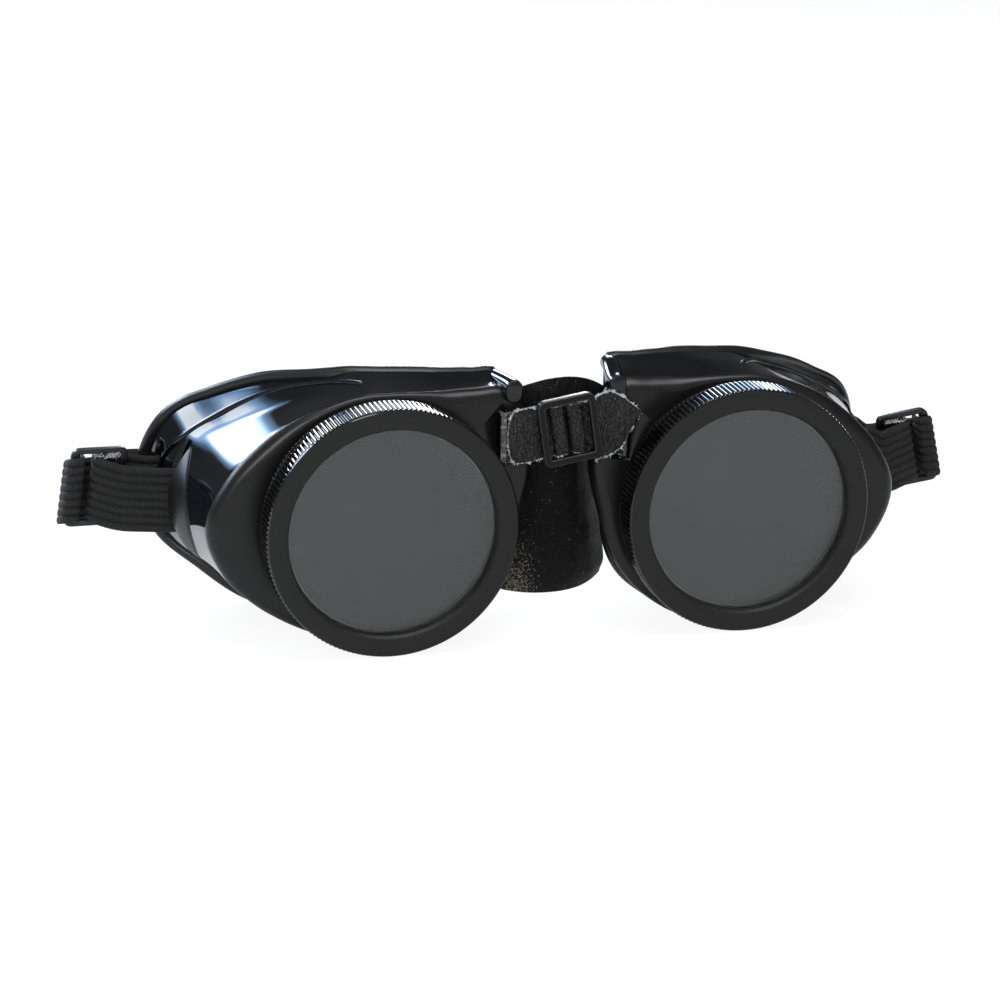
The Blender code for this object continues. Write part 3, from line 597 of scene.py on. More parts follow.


# Grain is the density of the cells and of the creases, and how the creases are stretched. The tint is
# painted shade: darker in the low creases, lighter on the raised grain
def leather(name, colours, rough, grain, bump, cut=None, specular=0.5, paintedGlints=None):
    look, tree, shader = newMaterial(name)
    hide = addGroup(tree, "hide", Cells=grain[0], Crease=grain[1], Stretch=grain[2])
    # painted shade: the low creases take the darker colour, the raised grain the lighter one
    paintedLight = mapRange(tree, hide["Creases"], start=(0.5, 0.75))
    tint = mixColours(tree, paintedLight, (*colours[0], 1), (*colours[1], 1))
    if cut:
        edge = addGroup(tree, "edge", Along=markOf(tree, "along"), Across=markOf(tree, "across"))
        tint = mixColours(tree, edge["Bare"], tint, (*cut, 1))
    if paintedGlints:
        tint = addPaintedGlints(tree, tint, *paintedGlints)
    gloss = mapRange(tree, hide["Creases"], start=(0.3, 0.7), end=rough)
    feed(tree, shader, {"Base Color": tint, "Roughness": gloss, "Specular IOR Level": specular})
    addBump(tree, shader, hide["Height"], bump)
    return look


def elastic(name, colour, pale):
    look, tree, shader = newMaterial(name)
    web = addGroup(tree, "web", Along=markOf(tree, "along"), Across=markOf(tree, "across"))
    # painted highlight: the raised rib and stitch crests take the paler colour
    tint = mixColours(tree, web["Thread"], (*colour, 1), (*pale, 1))
    feed(tree, shader, {"Base Color": tint, "Roughness": 0.7, "Specular IOR Level": 0.35})
    addBump(tree, shader, web["Height"], 0.0003)
    return look


def glass(name, colour, roughness, transmission, specular):
    look, tree, shader = newMaterial(name)
    inputs = {"Base Color": (*colour, 1), "Roughness": roughness, "Specular IOR Level": specular}
    feed(tree, shader, {**inputs, "IOR": 1.5, "Transmission Weight": transmission})
    return look


looks = {
    "gloss": plastic("glossBlack", (0.003, 0.004, 0.006), 0.04, 0.08, 1500, 0.000003),
    "satin": plastic("satinBlack", (0.0062, 0.006, 0.006), 0.28, 0.34, 5000, 0.000008, 0.38),
    "bead": plastic("beadBlack", (0.009, 0.009, 0.0095), 0.3, 0.38, 2500, 0.000006, 0.5),
    "ringFace": plastic("ringFaceBlack", (0.01, 0.01, 0.0102), 0.46, 0.54, 6000, 0.000012, 0.34),
    "ringSide": plastic("ringSideBlack", (0.004, 0.004, 0.0045), 0.03, 0.06, 4000, 0.000001, 0.6),
    "slider": plastic("sliderBlack", (0.006, 0.006, 0.0065), 0.25, 0.35, 3000, 0.00001),
    "buckle": plastic(
        "buckleBlack",
        (0.002, 0.002, 0.0022),
        0.28,
        0.4,
        3000,
        0.000008,
        specular=0.25,
        # paler rail corners: rub wear, and a painted highlight along the frame's edges
        rubAndHighlight=(0.06, 0.06, 0.06),
    ),
    # each leather's first colour is the painted shade of its creases, the second its raised grain
    "strap": leather(
        "strapLeather",
        ((0.004, 0.0038, 0.0038), (0.02, 0.0195, 0.019)),
        (0.16, 0.34),
        (1500, 900, 0.3),
        0.00012,
        # pale raw hide at the cut edges; the fold round the slot gets it too, as a painted highlight
        cut=(0.7, 0.71, 0.73),
    ),
    "pad": leather(
        "padLeather",
        ((0.0015, 0.0015, 0.0015), (0.004, 0.0039, 0.0037)),
        (0.36, 0.52),
        (2400, 500, 0.6),
        0.0002,
        specular=0.24,
        # painted highlight: pale glints on the grain round the pad's lower left
        paintedGlints=((50, -0.5), (19, 0.45), (0.6, 0.54, 0.42)),
    ),
    # edge faces: raw hide on the cut sides, and a painted highlight on the fold round the slot
    "rawEdgeAndFoldHighlight": leather(
        "rawEdgeAndFoldHighlight",
        ((0.2, 0.2, 0.2), (0.8, 0.8, 0.82)),
        (0.6, 0.9),
        (2500, 700, 1.0),
        0.0002,
    ),
    "elastic": elastic("elasticBlack", (0.003, 0.003, 0.003), (0.045, 0.045, 0.045)),
    "fray": plastic("paleThread", (0.75, 0.76, 0.8), 0.5, 0.7, 4000, 0.00001),
    "cover": glass("clearGlass", (0.96, 1, 0.995), 0.0, 1.0, 0.5),
    "filter": glass("filterGlass", (0.003, 0.009, 0.009), 0.03, 0.0, 0.14),
    "washer": plastic("fibre", (0.05, 0.05, 0.045), 0.7, 0.85, 3000, 0.00003),
    "gasket": plastic("gasketRubber", (0.012, 0.012, 0.012), 0.6, 0.75, 3000, 0.00003),
}

# Cup
cup = {
    "sides": 180,
    "plateFront": 10.5,
    "wall": 2.0,
    "neckWall": 1.6,
    "neckChamfer": 0.5,
    "seatWidth": 2.3,
    "edgeRadius": 3.0,
    "edgeShare": 0.55,
    "waist": 1.2,
    "bead": 1.9,
    "browRise": 0.58,  # share of the bead's height that the brow's wall climbs
    "browSpan": ((64, 90), (130, 150)),  # degrees over which it climbs and falls again
    "seatDepth": 7.5,
    "neckFront": 2.4,
    "depth": (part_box("right_cup")[1].y - frontY) / mm,
    "wallSteps": 18,
    "roundSteps": 6,
    # degrees round the lens from the temple over the brow, then shares of the ring's radius for
    # the plate's edge and for the rim, and the rim's share of the depth
    "table": (
        (0, 1.38, 1.64, 1.0),
        (16, 1.28, 1.56, 0.94),
        (31, 1.17, 1.32, 0.83),
        (47, 1.09, 1.17, 0.705),
        (62, 1.04, 1.10, 0.60),
        (79, 1.02, 1.09, 0.52),
        (97, 1.02, 1.096, 0.465),
        (115, 1.10, 1.20, 0.42),
        (126, 1.24, 1.34, 0.40),
        (133, 1.38, 1.46, 0.40),
        (139, 1.43, 1.33, 0.395),
        (152, 1.33, 1.13, 0.39),
        (165, 1.25, 1.02, 0.39),
        (181, 1.13, 0.99, 0.39),
        (200, 1.09, 1.05, 0.395),
        (217, 1.07, 1.09, 0.40),
        (233, 1.055, 1.09, 0.42),
        (245, 1.05, 1.09, 0.44),
        (270, 1.0, 1.0, 0.52),
        (293, 1.03, 1.09, 0.63),
        (310, 1.09, 1.28, 0.75),
        (328, 1.20, 1.42, 0.87),
        (341, 1.30, 1.58, 0.965),
    ),
}
pocketRadius = lensRadius + gap
neckRadius = pocketRadius + cup["neckWall"]


def roundLens(reach, turn, depth):
    return Vector((lensOut + reach * math.cos(turn), depth, reach * math.sin(turn)))


# Reads a column of the cup's table at any angle, on a smooth closed curve
def share(column, angle):
    rows = cup["table"]
    count = len(rows)
    angle %= 360
    k = max(i for i in range(count) if rows[i][0] <= angle)
    near = [(i % count, 360 * (i // count)) for i in range(k - 1, k + 3)]
    (a0, v0), (a1, v1), (a2, v2), (a3, v3) = [(rows[i][0] + turns, rows[i][column]) for i, turns in near]
    width = a2 - a1
    slopes = (v2 - v0) / (a2 - a0) * width, (v3 - v1) / (a3 - a1) * width
    return curve(v1, v2, *slopes, (angle - a1) / width)


def cupSizes(angle):
    down = -math.sin(math.radians(angle))
    limit = ringRadius / down if down > 0 else math.inf
    plate = min(share(1, angle) * ringRadius, limit)
    rim = min(share(2, angle) * ringRadius, limit)
    return plate, rim, share(3, angle) * cup["depth"]


def plateEdge(plate):
    return min(cup["edgeRadius"], (plate - neckRadius) * cup["edgeShare"])


def wallPoint(angle, t):
    plate, rim, depth = cupSizes(angle)
    start = cup["plateFront"] + plateEdge(plate)
    end = depth - 2 * cup["bead"]
    waist = cup["waist"] * math.cos(math.radians(angle)) ** 2
    climb, fall = cup["browSpan"]
    raised = smooth(*climb, angle % 360) * (1 - smooth(*fall, angle % 360))
    sunk = cup["bead"] * (1 - cup["browRise"] * raised)
    reach = plate + (rim - sunk - plate) * t - waist * math.sin(math.pi * t)
    return reach, start + (end - start) * t


# Section of the cup as (reach, depth, look): look 0 is gloss, 1 is satin and 2 is the bead's
def cupSection(angle):
    plate, rim, depth = cupSizes(angle)
    edge = plateEdge(plate)
    front, wall, bead = cup["plateFront"], cup["wall"], cup["bead"]
    neckFront, seat = cup["neckFront"], cup["seatDepth"]
    steps, rounds = cup["wallSteps"], cup["roundSteps"]
    points = [
        (neckRadius - cup["neckChamfer"], neckFront, 1),
        (neckRadius, neckFront + cup["neckChamfer"], 1),
        (neckRadius, front, 1),
    ]
    for i in range(rounds + 1):
        turn = math.pi / 2 * i / rounds
        points.append((plate - edge + edge * math.sin(turn), front + edge * (1 - math.cos(turn)), 1))
    for i in range(1, steps + 1):
        points.append((*wallPoint(angle, i / steps), 0))
    for i in range(1, 2 * rounds + 1):
        turn = math.pi * i / (2 * rounds)
        reach = rim - bead + bead * math.sin(turn)
        if i < rounds:
            reach = max(reach, wallPoint(angle, 1)[0])
        points.append((reach, depth - bead - bead * math.cos(turn), 2))
    points.append((rim - bead - wall, depth, 2))
    for i in range(steps, 0, -2):
        reach, back = wallPoint(angle, i / steps)
        points.append((reach - wall, back, 1))
    points.append((plate - wall, front + edge + wall * cup["edgeShare"], 1))
    seatRadius = pocketRadius - cup["seatWidth"]
    inner = max(plate - wall - edge, pocketRadius - cup["seatWidth"] * cup["edgeShare"])
    points.append((inner, front + wall, 1))
    points += [(seatRadius, front + wall, 1), (seatRadius, seat, 1)]
    return points + [(pocketRadius, seat, 1), (pocketRadius, neckFront, 1)]


def onWall(angle, t, lift=0.0):
    reach, depth = wallPoint(angle, t)
    return roundLens(reach + lift, math.radians(angle), depth)


# Distance of the temple wall's outside from the middle plane, at a depth and a height
def templeOut(depth, up):
    reach = lensOut
    for _ in range(5):
        angle = math.degrees(math.atan2(up, reach))
        near, far = onWall(angle, 0), onWall(angle, 1)
        t = min(max((depth - near.y) / (far.y - near.y), 0), 1)
        reach = onWall(angle, t).x - lensOut
    return lensOut + reach


# The two sides don't lie alike: the right cup's brow and the left cup's shoulder are higher, and
# the right slider hangs lower and turned
lie = {
    -1: {
        "brow": 0.0,
        "shoulder": 2.4,
        "ear": 1.2,
        "drop": 0.0,
        "rise": 0.0,
        "lean": 0.13,
        "inwards": 0.0,
        "middle": -1.8,
        "bulge": 1.9,
    },
    1: {
        "brow": 1.9,
        "shoulder": 0.0,
        "ear": 3.0,
        "drop": 2.3,
        "rise": 0.142,
        "lean": 0.23,
        "inwards": 1.0,
        "middle": 0.2,
        "bulge": 3.2,
    },
}
# Where the lifts grow or fade, in millimetres outwards, up and back
brow = {"out": (25, 50), "up": (8, 24), "back": (cup["plateFront"], 20)}
shoulder = {"out": (47, 64), "end": (76, 92), "up": (0, 14), "rimSlope": 0.88, "rimStart": -18, "run": 11}


def liftBrow(bm, side):
    for v in bm.verts:
        x, y, z = v.co
        part = 1 - smooth(*brow["out"], x)
        v.co.z += lie[side]["brow"] * part * smooth(*brow["up"], z) * smooth(*brow["back"], y)
        rim = shoulder["rimSlope"] * x + shoulder["rimStart"]
        part = smooth(*shoulder["out"], x) * (1 - smooth(*shoulder["end"], x)) * smooth(*shoulder["up"], z)
        v.co.z += lie[side]["shoulder"] * part * smooth(rim - shoulder["run"], rim, y)


def hangBand(bm, side):
    way = lie[side]
    for v in bm.verts:
        part = smooth(templeRim + band["hang"][0], templeRim + band["hang"][1], v.co.x)
        out, up = v.co.x - slider["out"], v.co.z - slider["up"]
        v.co.x -= part * (way["lean"] * up + way["inwards"])
        v.co.z -= part * (way["drop"] - way["rise"] * out)


slots = {
    "width": 2.3,
    "low": -11.5,
    "top": {"front": 11.6, "rear": 9.0},
    "middle": -2.0,
    "rear": cup["depth"] - 9.4,
    "front": cup["depth"] - 19.6,
    "corner": 0.8,
    "through": 9.0,
    "over": 2.0,
    "nose": (13.0, 2.6, 17.6, 13.0),  # inner side, width, middle height and height of the strap's slot
    "noseSpan": (-1, 5),
}
hood = {
    "middle": -2.2,
    "half": 13.4,
    "front": 29.2,  # attached edge at the middle, and how far back it is at the tips
    "tips": 8.6,
    "tipCurve": 1.7,
    "rear": 37.6,  # free edge
    "rise": 1.7,
    "fullness": 0.75,
    "least": 0.03,
    "step": 0.12,
    "undercut": 0.2,
    "skin": 0.9,
    "sink": 0.5,
    "root": 0.3,
    "bow": 0.6,
    "shortest": 0.4,
    "lip": (0.22, 0.25),
    "steps": 48,
    "across": 12,
}


def boxCutter(name, low, high, side):
    bm = bmesh.new()
    middle = (Vector(low) + Vector(high)) / 2
    size = Matrix.Diagonal((*(Vector(high) - Vector(low)), 1))
    bmesh.ops.create_cube(bm, size=1, matrix=Matrix.Translation(middle) @ size)
    upright = [e for e in bm.edges if abs(e.verts[0].co.x - e.verts[1].co.x) > 0.5]
    corner = slots["corner"]
    bmesh.ops.bevel(bm, geom=upright, offset=corner, segments=3, profile=0.5, affect="EDGES", material=-1)
    bm.verts.layers.int.new("column")
    return toObject(name, bm, side)


def makeCup(side, word):
    bm = startMesh()
    count = cup["sides"]
    angles = [360 * i / count for i in range(count)]
    sections = [cupSection(angle) for angle in angles]
    loops = []
    for k in range(len(sections[0])):
        places = [(angle, *section[k][:2]) for angle, section in zip(angles, sections)]
        loops.append([roundLens(reach, math.radians(angle), depth) for angle, reach, depth in places])
    rowLooks = [section[2] for section in sections[0]]
    loft(bm, loops, rowLooks[1:] + rowLooks[:1], closed=True)
    liftBrow(bm, side)
    shell = toObject(word + "_cup_shell", bm, side, (looks["gloss"], looks["satin"], looks["bead"]))
    cutters = []
    for spot in ("front", "rear"):
        depth = slots[spot]
        out = templeOut(depth, slots["middle"])
        low = (out - slots["through"], depth - slots["width"] / 2, slots["low"])
        high = (out + slots["over"], depth + slots["width"] / 2, slots["top"][spot])
        cutters.append(boxCutter(spot, low, high, side))
    out, width, height, tall = slots["nose"]
    ahead, behind = slots["noseSpan"]
    low = (out, cup["plateFront"] + ahead, height - tall / 2)
    high = (out + width, cup["plateFront"] + behind, height + tall / 2)
    cutters.append(boxCutter("nose", low, high, side))
    carve(shell, cutters)
    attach(shell, word + "_side")
    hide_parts(word + "_cup")


# Leaf that shields the front slot: it grows out of the wall and stands free at its rear edge
def makeHood(side, word):
    bm = startMesh()
    loops = []
    steps, across = hood["steps"], hood["across"]
    for k in range(steps + 1):
        u = 2 * k / steps - 1
        up = hood["middle"] + hood["half"] * u
        bulge = max((1 - u * u) ** hood["fullness"], hood["least"])
        front = hood["front"] + hood["tips"] * abs(u) ** hood["tipCurve"]
        rear = max(hood["rear"] + hood["bow"] * u * u, front + hood["shortest"])
        outer, inner = [], []
        for j in range(across + 1):
            t = j / across
            y = front + (rear - front) * t
            wall = templeOut(y, up)
            lift = hood["rise"] * bulge * math.sin(t * math.pi / 2) + hood["step"] * (j > 0)
            outer.append(Vector((wall + lift - hood["root"] * (j == 0), y, up)))
            inside = wall + max(lift - hood["skin"], -hood["sink"])
            inner.append(Vector((inside, y - hood["undercut"] * (j == across), up)))
        outer[-1].y -= hood["lip"][1]
        outer.append(Vector((outer[-1].x - hood["lip"][0], rear, up)))
        loops.append(outer + inner[::-1])
    loft(bm, loops)
    leaf = toObject(word + "_hood", bm, side, (looks["satin"],), angle=50)
    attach(leaf, word + "_side")


rib = {
    "radius": (0.62, 0.9),  # over the brow, and between the slots
    "swell": (0.62, 0.85),  # share of the length where it grows from one to the other
    # share of the radius at either tip, and how fast it grows from there
    "frontTip": (0.35, 0.5),
    "rearTip": (0.3, 2.2),
    "sides": 14,
    # degrees round the lens, and the share of the wall's depth
    "course": (
        (84, 0.46),
        (78, 0.66),
        (72, 0.79),
        (63, 0.83),
        (54, 0.81),
        (37, 0.78),
        (25, 0.77),
        (16.5, 0.78),
        (9, 0.82),
        (1, 0.84),
        (-5, 0.86),
    ),
    "steps": 8,
}


def makeRib(side, word):
    knots = [onWall(*place) for place in rib["course"]]
    path = []
    for i in range(len(knots) - 1):
        a, b = knots[max(i - 1, 0)], knots[i]
        c, d = knots[i + 1], knots[min(i + 2, len(knots) - 1)]
        path += [curve(b, c, (c - a) * 0.5, (d - b) * 0.5, k / rib["steps"]) for k in range(rib["steps"])]
    path.append(knots[-1])
    last = len(path) - 1
    (front, frontGrowth), (rear, rearGrowth) = rib["frontTip"], rib["rearTip"]
    sections = []
    for i in range(last + 1):
        size = mixed((rib["radius"][0],), (rib["radius"][1],), smooth(*rib["swell"], i / last))[0]
        size *= min(1, front + frontGrowth * i, rear + rearGrowth * (last - i) / last)
        sections.append(roundSection(size, rib["sides"]))
    bm = startMesh()
    loft(bm, sweepLoops(path, sections))
    liftBrow(bm, side)
    ridge = toObject(word + "_brow_rib", bm, side, (looks["gloss"],), angle=60)
    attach(ridge, word + "_side")


# Ear that closes the bead's forward run: its flat face reaches down to the plate
ear = {
    "radius": 2.0,
    "face": (12.0, 9.3, 28.9),
    "angle": 134,
    "lead": 0.7,  # straight run behind the face
    "ahead": (0, 2.6, 0.1),
    "steps": 32,
    "sizes": (0.82, 0.93, 0.985, 1.0),
    "foot": (3, 23),  # points of the path over which its longer foot ends
    "sides": 48,
}


def makeEar(side, word):
    radius = ear["radius"]
    front = Vector(ear["face"])
    _, rim, depth = cupSizes(ear["angle"])
    back = roundLens(rim - cup["bead"], math.radians(ear["angle"]), depth - cup["bead"])
    ahead = front + Vector(ear["ahead"])
    path = [front + Vector((0, run, 0)) for run in (0, 0.1, 0.3, ear["lead"])]
    for i in range(1, ear["steps"] + 1):
        t = i / ear["steps"]
        bent = front.lerp(ahead, t).lerp(ahead.lerp(back, t), t)
        path.append(bent + Vector((0, ear["lead"] * (1 - t), 0)))
    sections = []
    for i in range(len(path)):
        size = ear["sizes"][min(i, 3)] * radius
        drop = lie[side]["ear"] * (1 - smooth(*ear["foot"], i))
        sections.append([(a, b - (drop if b < 0 else 0)) for a, b in roundSection(size, ear["sides"])])
    bm = startMesh()
    loft(bm, sweepLoops(path, sections))
    liftBrow(bm, side)
    rod = toObject(word + "_ear", bm, side, (looks["gloss"],), angle=50)
    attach(rod, word + "_side")


thread = {
    "pitch": 1.5,
    "turns": 4.4,
    "height": 0.26,
    "root": 0.2,
    "flank": 0.45,
    "crest": 0.15,
    "start": 3.2,
    "steps": 64,
}


def makeThread(side, word):
    bm = bmesh.new()
    r, y, h = neckRadius, thread["start"], thread["height"]
    root, flank, crest = thread["root"], thread["flank"], thread["crest"]
    corners = [
        (r - root, y),
        (r + h, y + flank),
        (r + h, y + flank + crest),
        (r - root, y + 2 * flank + crest),
    ]
    verts = [bm.verts.new((lensOut + a, b, 0)) for a, b in corners]
    face = bm.faces.new(verts)
    steps = int(thread["turns"] * thread["steps"])
    step = Vector((0, thread["pitch"] / thread["steps"], 0))
    bmesh.ops.spin(
        bm,
        geom=[face] + list(face.edges) + verts,
        cent=(lensOut, 0, 0),
        axis=(0, -1, 0),
        dvec=step,
        angle=2 * math.pi * thread["turns"],
        steps=steps,
        use_duplicate=False,
    )
    bm.verts.layers.int.new("column")
    helix = toObject(word + "_thread", bm, side, (looks["satin"],))
    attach(helix, word + "_side")


# Screw ring
ring = {
    "teeth": 160,
    "tooth": (0, 0.02, 0.09, 0.75, 1, 0.75, 0.09, 0.02),  # share of the groove's depth round one tooth
    "toothDepth": 0.55,
    "faceRows": 6,  # loops, from the opening out, that look like the flat face
    "opening": lensRadius - 1.5,
    "lip": 1.8,
    "bevel": 1.0,
    "knurl": 8.0,
    "collarStep": 0.7,
    "bore": neckRadius + gap,
}


def makeRing(side, word):
    outer = ringRadius
    opening = ring["opening"]
    collar = outer - ring["collarStep"]
    # radius, depth and share of the groove's depth
    stations = (
        (opening, ring["lip"], 0),
        (opening, 0.95, 0),
        (opening + 0.15, 0.6, 0),
        (opening + 0.6, 0.12, 0),
        (opening + ring["bevel"], 0, 0),
        (outer - 0.85, 0, 0),
        (outer - 0.5, 0.07, 0),
        (outer - 0.28, 0.26, 0),
        (outer - 0.2, 0.5, 0),
        (outer - 0.17, 0.72, 0.1),
        (outer, 0.95, 1),
        (outer, 1.1, 1),
        (outer, ring["knurl"] - 0.7, 1),
        (outer, ring["knurl"] - 0.5, 1),
        (outer - 0.1, ring["knurl"] - 0.12, 0.2),
        (outer - 0.14, ring["knurl"], 0),
        (outer - 0.2, ring["knurl"] + 0.25, 0),
        (collar, ring["knurl"] + 0.32, 0),
        (collar, ringDepth - 0.3, 0),
        (collar - 0.25, ringDepth, 0),
        (ring["bore"] + 0.1, ringDepth, 0),
        (ring["bore"], ringDepth - 0.2, 0),
        (ring["bore"], ring["lip"], 0),
    )
    tooth = ring["tooth"]
    count = len(tooth) * ring["teeth"]
    loops = []
    for radius, depth, knurled in stations:
        loop = []
        for i in range(count):
            turn = 2 * math.pi * i / count
            cut = ring["toothDepth"] * knurled * tooth[i % len(tooth)]
            loop.append(roundLens(radius - cut, turn, depth))
        loops.append(loop)
    bm = startMesh()
    loft(bm, loops, [0] * ring["faceRows"] + [1], closed=True)
    piece = toObject(word + "_knurled_ring", bm, side, (looks["ringFace"], looks["ringSide"]), angle=28)
    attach(piece, word + "_ring")
    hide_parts(word + "_screw_ring")


# Bridge
bridge = {
    "strapThickness": 1.0,
    "strapWidth": 11.4,
    "height": 0.653 * ringRadius,
    "tilt": 9.5,
    "strapTilt": 5.0,
    "buckleWidth": 13.4,
    "buckleHeight": 15.3,
    "buckleDepth": 2.0,
    "rail": 1.55,
    "bar": 1.0,
    "barSpacing": 4.0,
    "barBend": (0.3, 0.4),
    "buckleUp": 1.2,
    "stop": 4.6,
    "bendSteps": 7,
    "step": 0.45,
    "edge": 0.72,  # share of the thickness at the strap's edges
    "folds": ((0.09, 0.45, 0.4, 3), (0.07, 1.6, 0.35, 8)),
    # painted highlight on the strap's fold round the slot: where it lies
    "paintedLight": (0.8, 0.6),  # how far before the slot, and how many thicknesses from its lower layer
    "rounds": (0.25, 1.1),  # of the buckle's rails and of its corners
}
strapLower = cup["plateFront"] - gap - bridge["strapThickness"] / 2
strapUpper = strapLower - gap - bridge["strapThickness"]
barBack = strapLower - bridge["strapThickness"] / 2 - gap
humpDepth = barBack - bridge["bar"] - gap - bridge["strapThickness"] / 2
buckleBack = strapUpper - bridge["strapThickness"] / 2 - gap
noseSlot = slots["nose"][0] + slots["nose"][1] / 2
slope = math.tan(math.radians(bridge["strapTilt"]))
steep = math.tan(math.radians(bridge["tilt"]))
# (out, up, width) of the free ends: the right one is an arrow, the left one is cut round
tails = {
    1: (
        (17.1, 22.4, 0.7),
        (14.9, 21.5, 6.2),
        (12.7, 20.3, 11.9),
        (10.6, 20.3, 14.4),
        (9.4, 20.1, 15.2),
        (6.9, 19.4, 15.0),
    ),
    -1: (
        (13.6, 18.5, 1.6),
        (13.45, 18.5, 5.6),
        (13.1, 18.4, 8.8),
        (12.5, 18.3, 11.2),
        (11.4, 18.2, 12.4),
        (8.2, 18.6, 12.6),
    ),
}


# Corners from the free end over the bar and back round the slot, for bendPath
def bridgePath(side):
    thick = bridge["strapThickness"]
    bar = bridge["barSpacing"] / 2
    wrap = bridge["bar"] / 2 + gap + thick / 2
    behind = cup["plateFront"] + cup["wall"] + gap + thick / 2
    half = bridge["buckleWidth"] / 2
    rise = slope * side
    strapWidth = bridge["strapWidth"]
    tail = [(x, strapUpper, z, width, 0, 0.3) for x, z, width in tails[side]]

    def corner(out, depth, bend=thick):
        height = bridge["height"] + bridge["buckleUp"] * (1 - out / noseSlot) + rise * out
        return (out, depth, height, strapWidth, -steep * side, bend)

    low = slots["nose"][2]
    return tail + [
        corner(half, strapUpper, 1),
        corner(bar + wrap, strapUpper),
        corner(bar + wrap, humpDepth),
        corner(bar - wrap, humpDepth),
        corner(bar - wrap, strapLower),
        corner(half, strapLower),
        (noseSlot, strapLower, low, strapWidth, 0, thick),
        (noseSlot, behind, low, strapWidth, 0, thick),
        (noseSlot + bridge["stop"], behind, low, strapWidth, 0, thick),
    ]


def makeBridgeStrap(side, word):
    thick = bridge["strapThickness"]
    path = fineSteps(bendPath(bridgePath(side), bridge["bendSteps"]), bridge["step"])

    def halfDepth(v):
        return thick / 2 * (bridge["edge"] + (1 - bridge["edge"]) * (1 - abs(v) ** 6))

    def wave(length, up):
        return foldHeight(bridge["folds"], length, up, way=side)

    bm = startMesh()
    loops, marks = strapLoops(path, 24, halfDepth, wave)
    loft(bm, loops, marks=marks)
    piece = toObject(word + "_leather_strap", bm, side, (looks["strap"], looks["rawEdgeAndFoldHighlight"]))
    edgeFaces(piece)
    tufts = makeTufts(side, word, path)
    for loose in (piece, tufts):
        if side < 0:
            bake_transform(loose, "left_side", "bridge", worldPoint(-14, 0, 0), worldPoint(-7, 0, 0))
        else:
            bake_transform(loose, "bridge", "right_side", worldPoint(7, 0, 0), worldPoint(14, 0, 0))
    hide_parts(word + "_bridge_strap")


# Torn fibres in clumps along the cut edges of a strap's free end
tuft = {
    "reach": 13.0,
    "single": 150,
    # thickness and length of a fibre on its own and in a clump, as shares
    "lone": (1.0, 0.55),
    "clumped": (1.6, 0.7),
    "clumps": 15,
    "each": 11,
    "length": (0.35, 1.0),
    "radius": 0.055,
    "seed": 21,
    "back": (0.1, 0.45),
    "along": (-0.25, 0.25),
    "turn": (-0.9, 0.9),
    "forward": (-0.6, 0.2),
    "curl": (-0.5, 0.5),
    "sink": 0.12,
    "out": 0.8,
    "places": (0, 0.35, 0.7, 1),
    "sizes": (1, 0.9, 0.7, 0.35),
}


def makeTufts(side, word, path):
    random.seed(tuft["seed"] + side)
    length = [0]
    for before, here in zip(path, path[1:]):
        length.append(length[-1] + math.dist(before[:3], here[:3]))
    free = [i for i, spot in enumerate(length) if spot < tuft["reach"]]
    places = [(random.choice(free), random.choice((-1, 1)), tuft["lone"]) for _ in range(tuft["single"])]
    for _ in range(tuft["clumps"]):
        spot, edge = random.choice(free), random.choice((-1, 1))
        for _ in range(tuft["each"]):
            places.append((max(0, spot + random.choice((-1, 0, 0, 1))), edge, tuft["clumped"]))
    bm = startMesh()
    for spot, edge, (thick, long) in places:
        x, y, z, width, lean = path[spot]
        up = edge * width / 2
        ahead = path[spot + 1]
        run = Vector((ahead[0] - x, 0, ahead[2] + edge * ahead[3] / 2 - z - up)).normalized()
        out = Vector((run.z, 0, -run.x))
        if out.z * edge < 0 or (abs(out.z) < 0.3 and out.x < 0):
            out = -out
        start = Vector((x + lean * up, y - random.uniform(*tuft["back"]), z + up)) - out * tuft["sink"]
        start += run * random.uniform(*tuft["along"])
        turn = run * random.uniform(*tuft["turn"]) + Vector((0, random.uniform(*tuft["forward"]), 0))
        curl = Vector([random.uniform(*tuft["curl"]) for _ in range(3)])
        reach = random.uniform(*tuft["length"]) * long
        addHair(bm, tuft, tuft["radius"] * thick, start, out * tuft["out"] + turn, curl, reach)
    return toObject(word + "_strap_fibres", bm, side, (looks["fray"],), angle=60)


# The strap's cut edges, where the two faces meet, show the raw hide. Its fold round the slot is marked as an
# edge too, which paints it pale as a painted highlight along the fold
def edgeFaces(piece):
    mesh = piece.data
    across = mesh.attributes["across"].data
    before, near = bridge["paintedLight"]
    for v in mesh.vertices:
        local = toWorld.inverted() @ v.co
        deep = abs(local.y - strapLower) / bridge["strapThickness"]
        if abs(local.x) > noseSlot - before and deep < near:
            across[v.index].value = 1.0
    for face in mesh.polygons:
        values = [across[i].value for i in face.vertices]
        if max(values) - min(values) < 0.01:
            face.material_index = 1


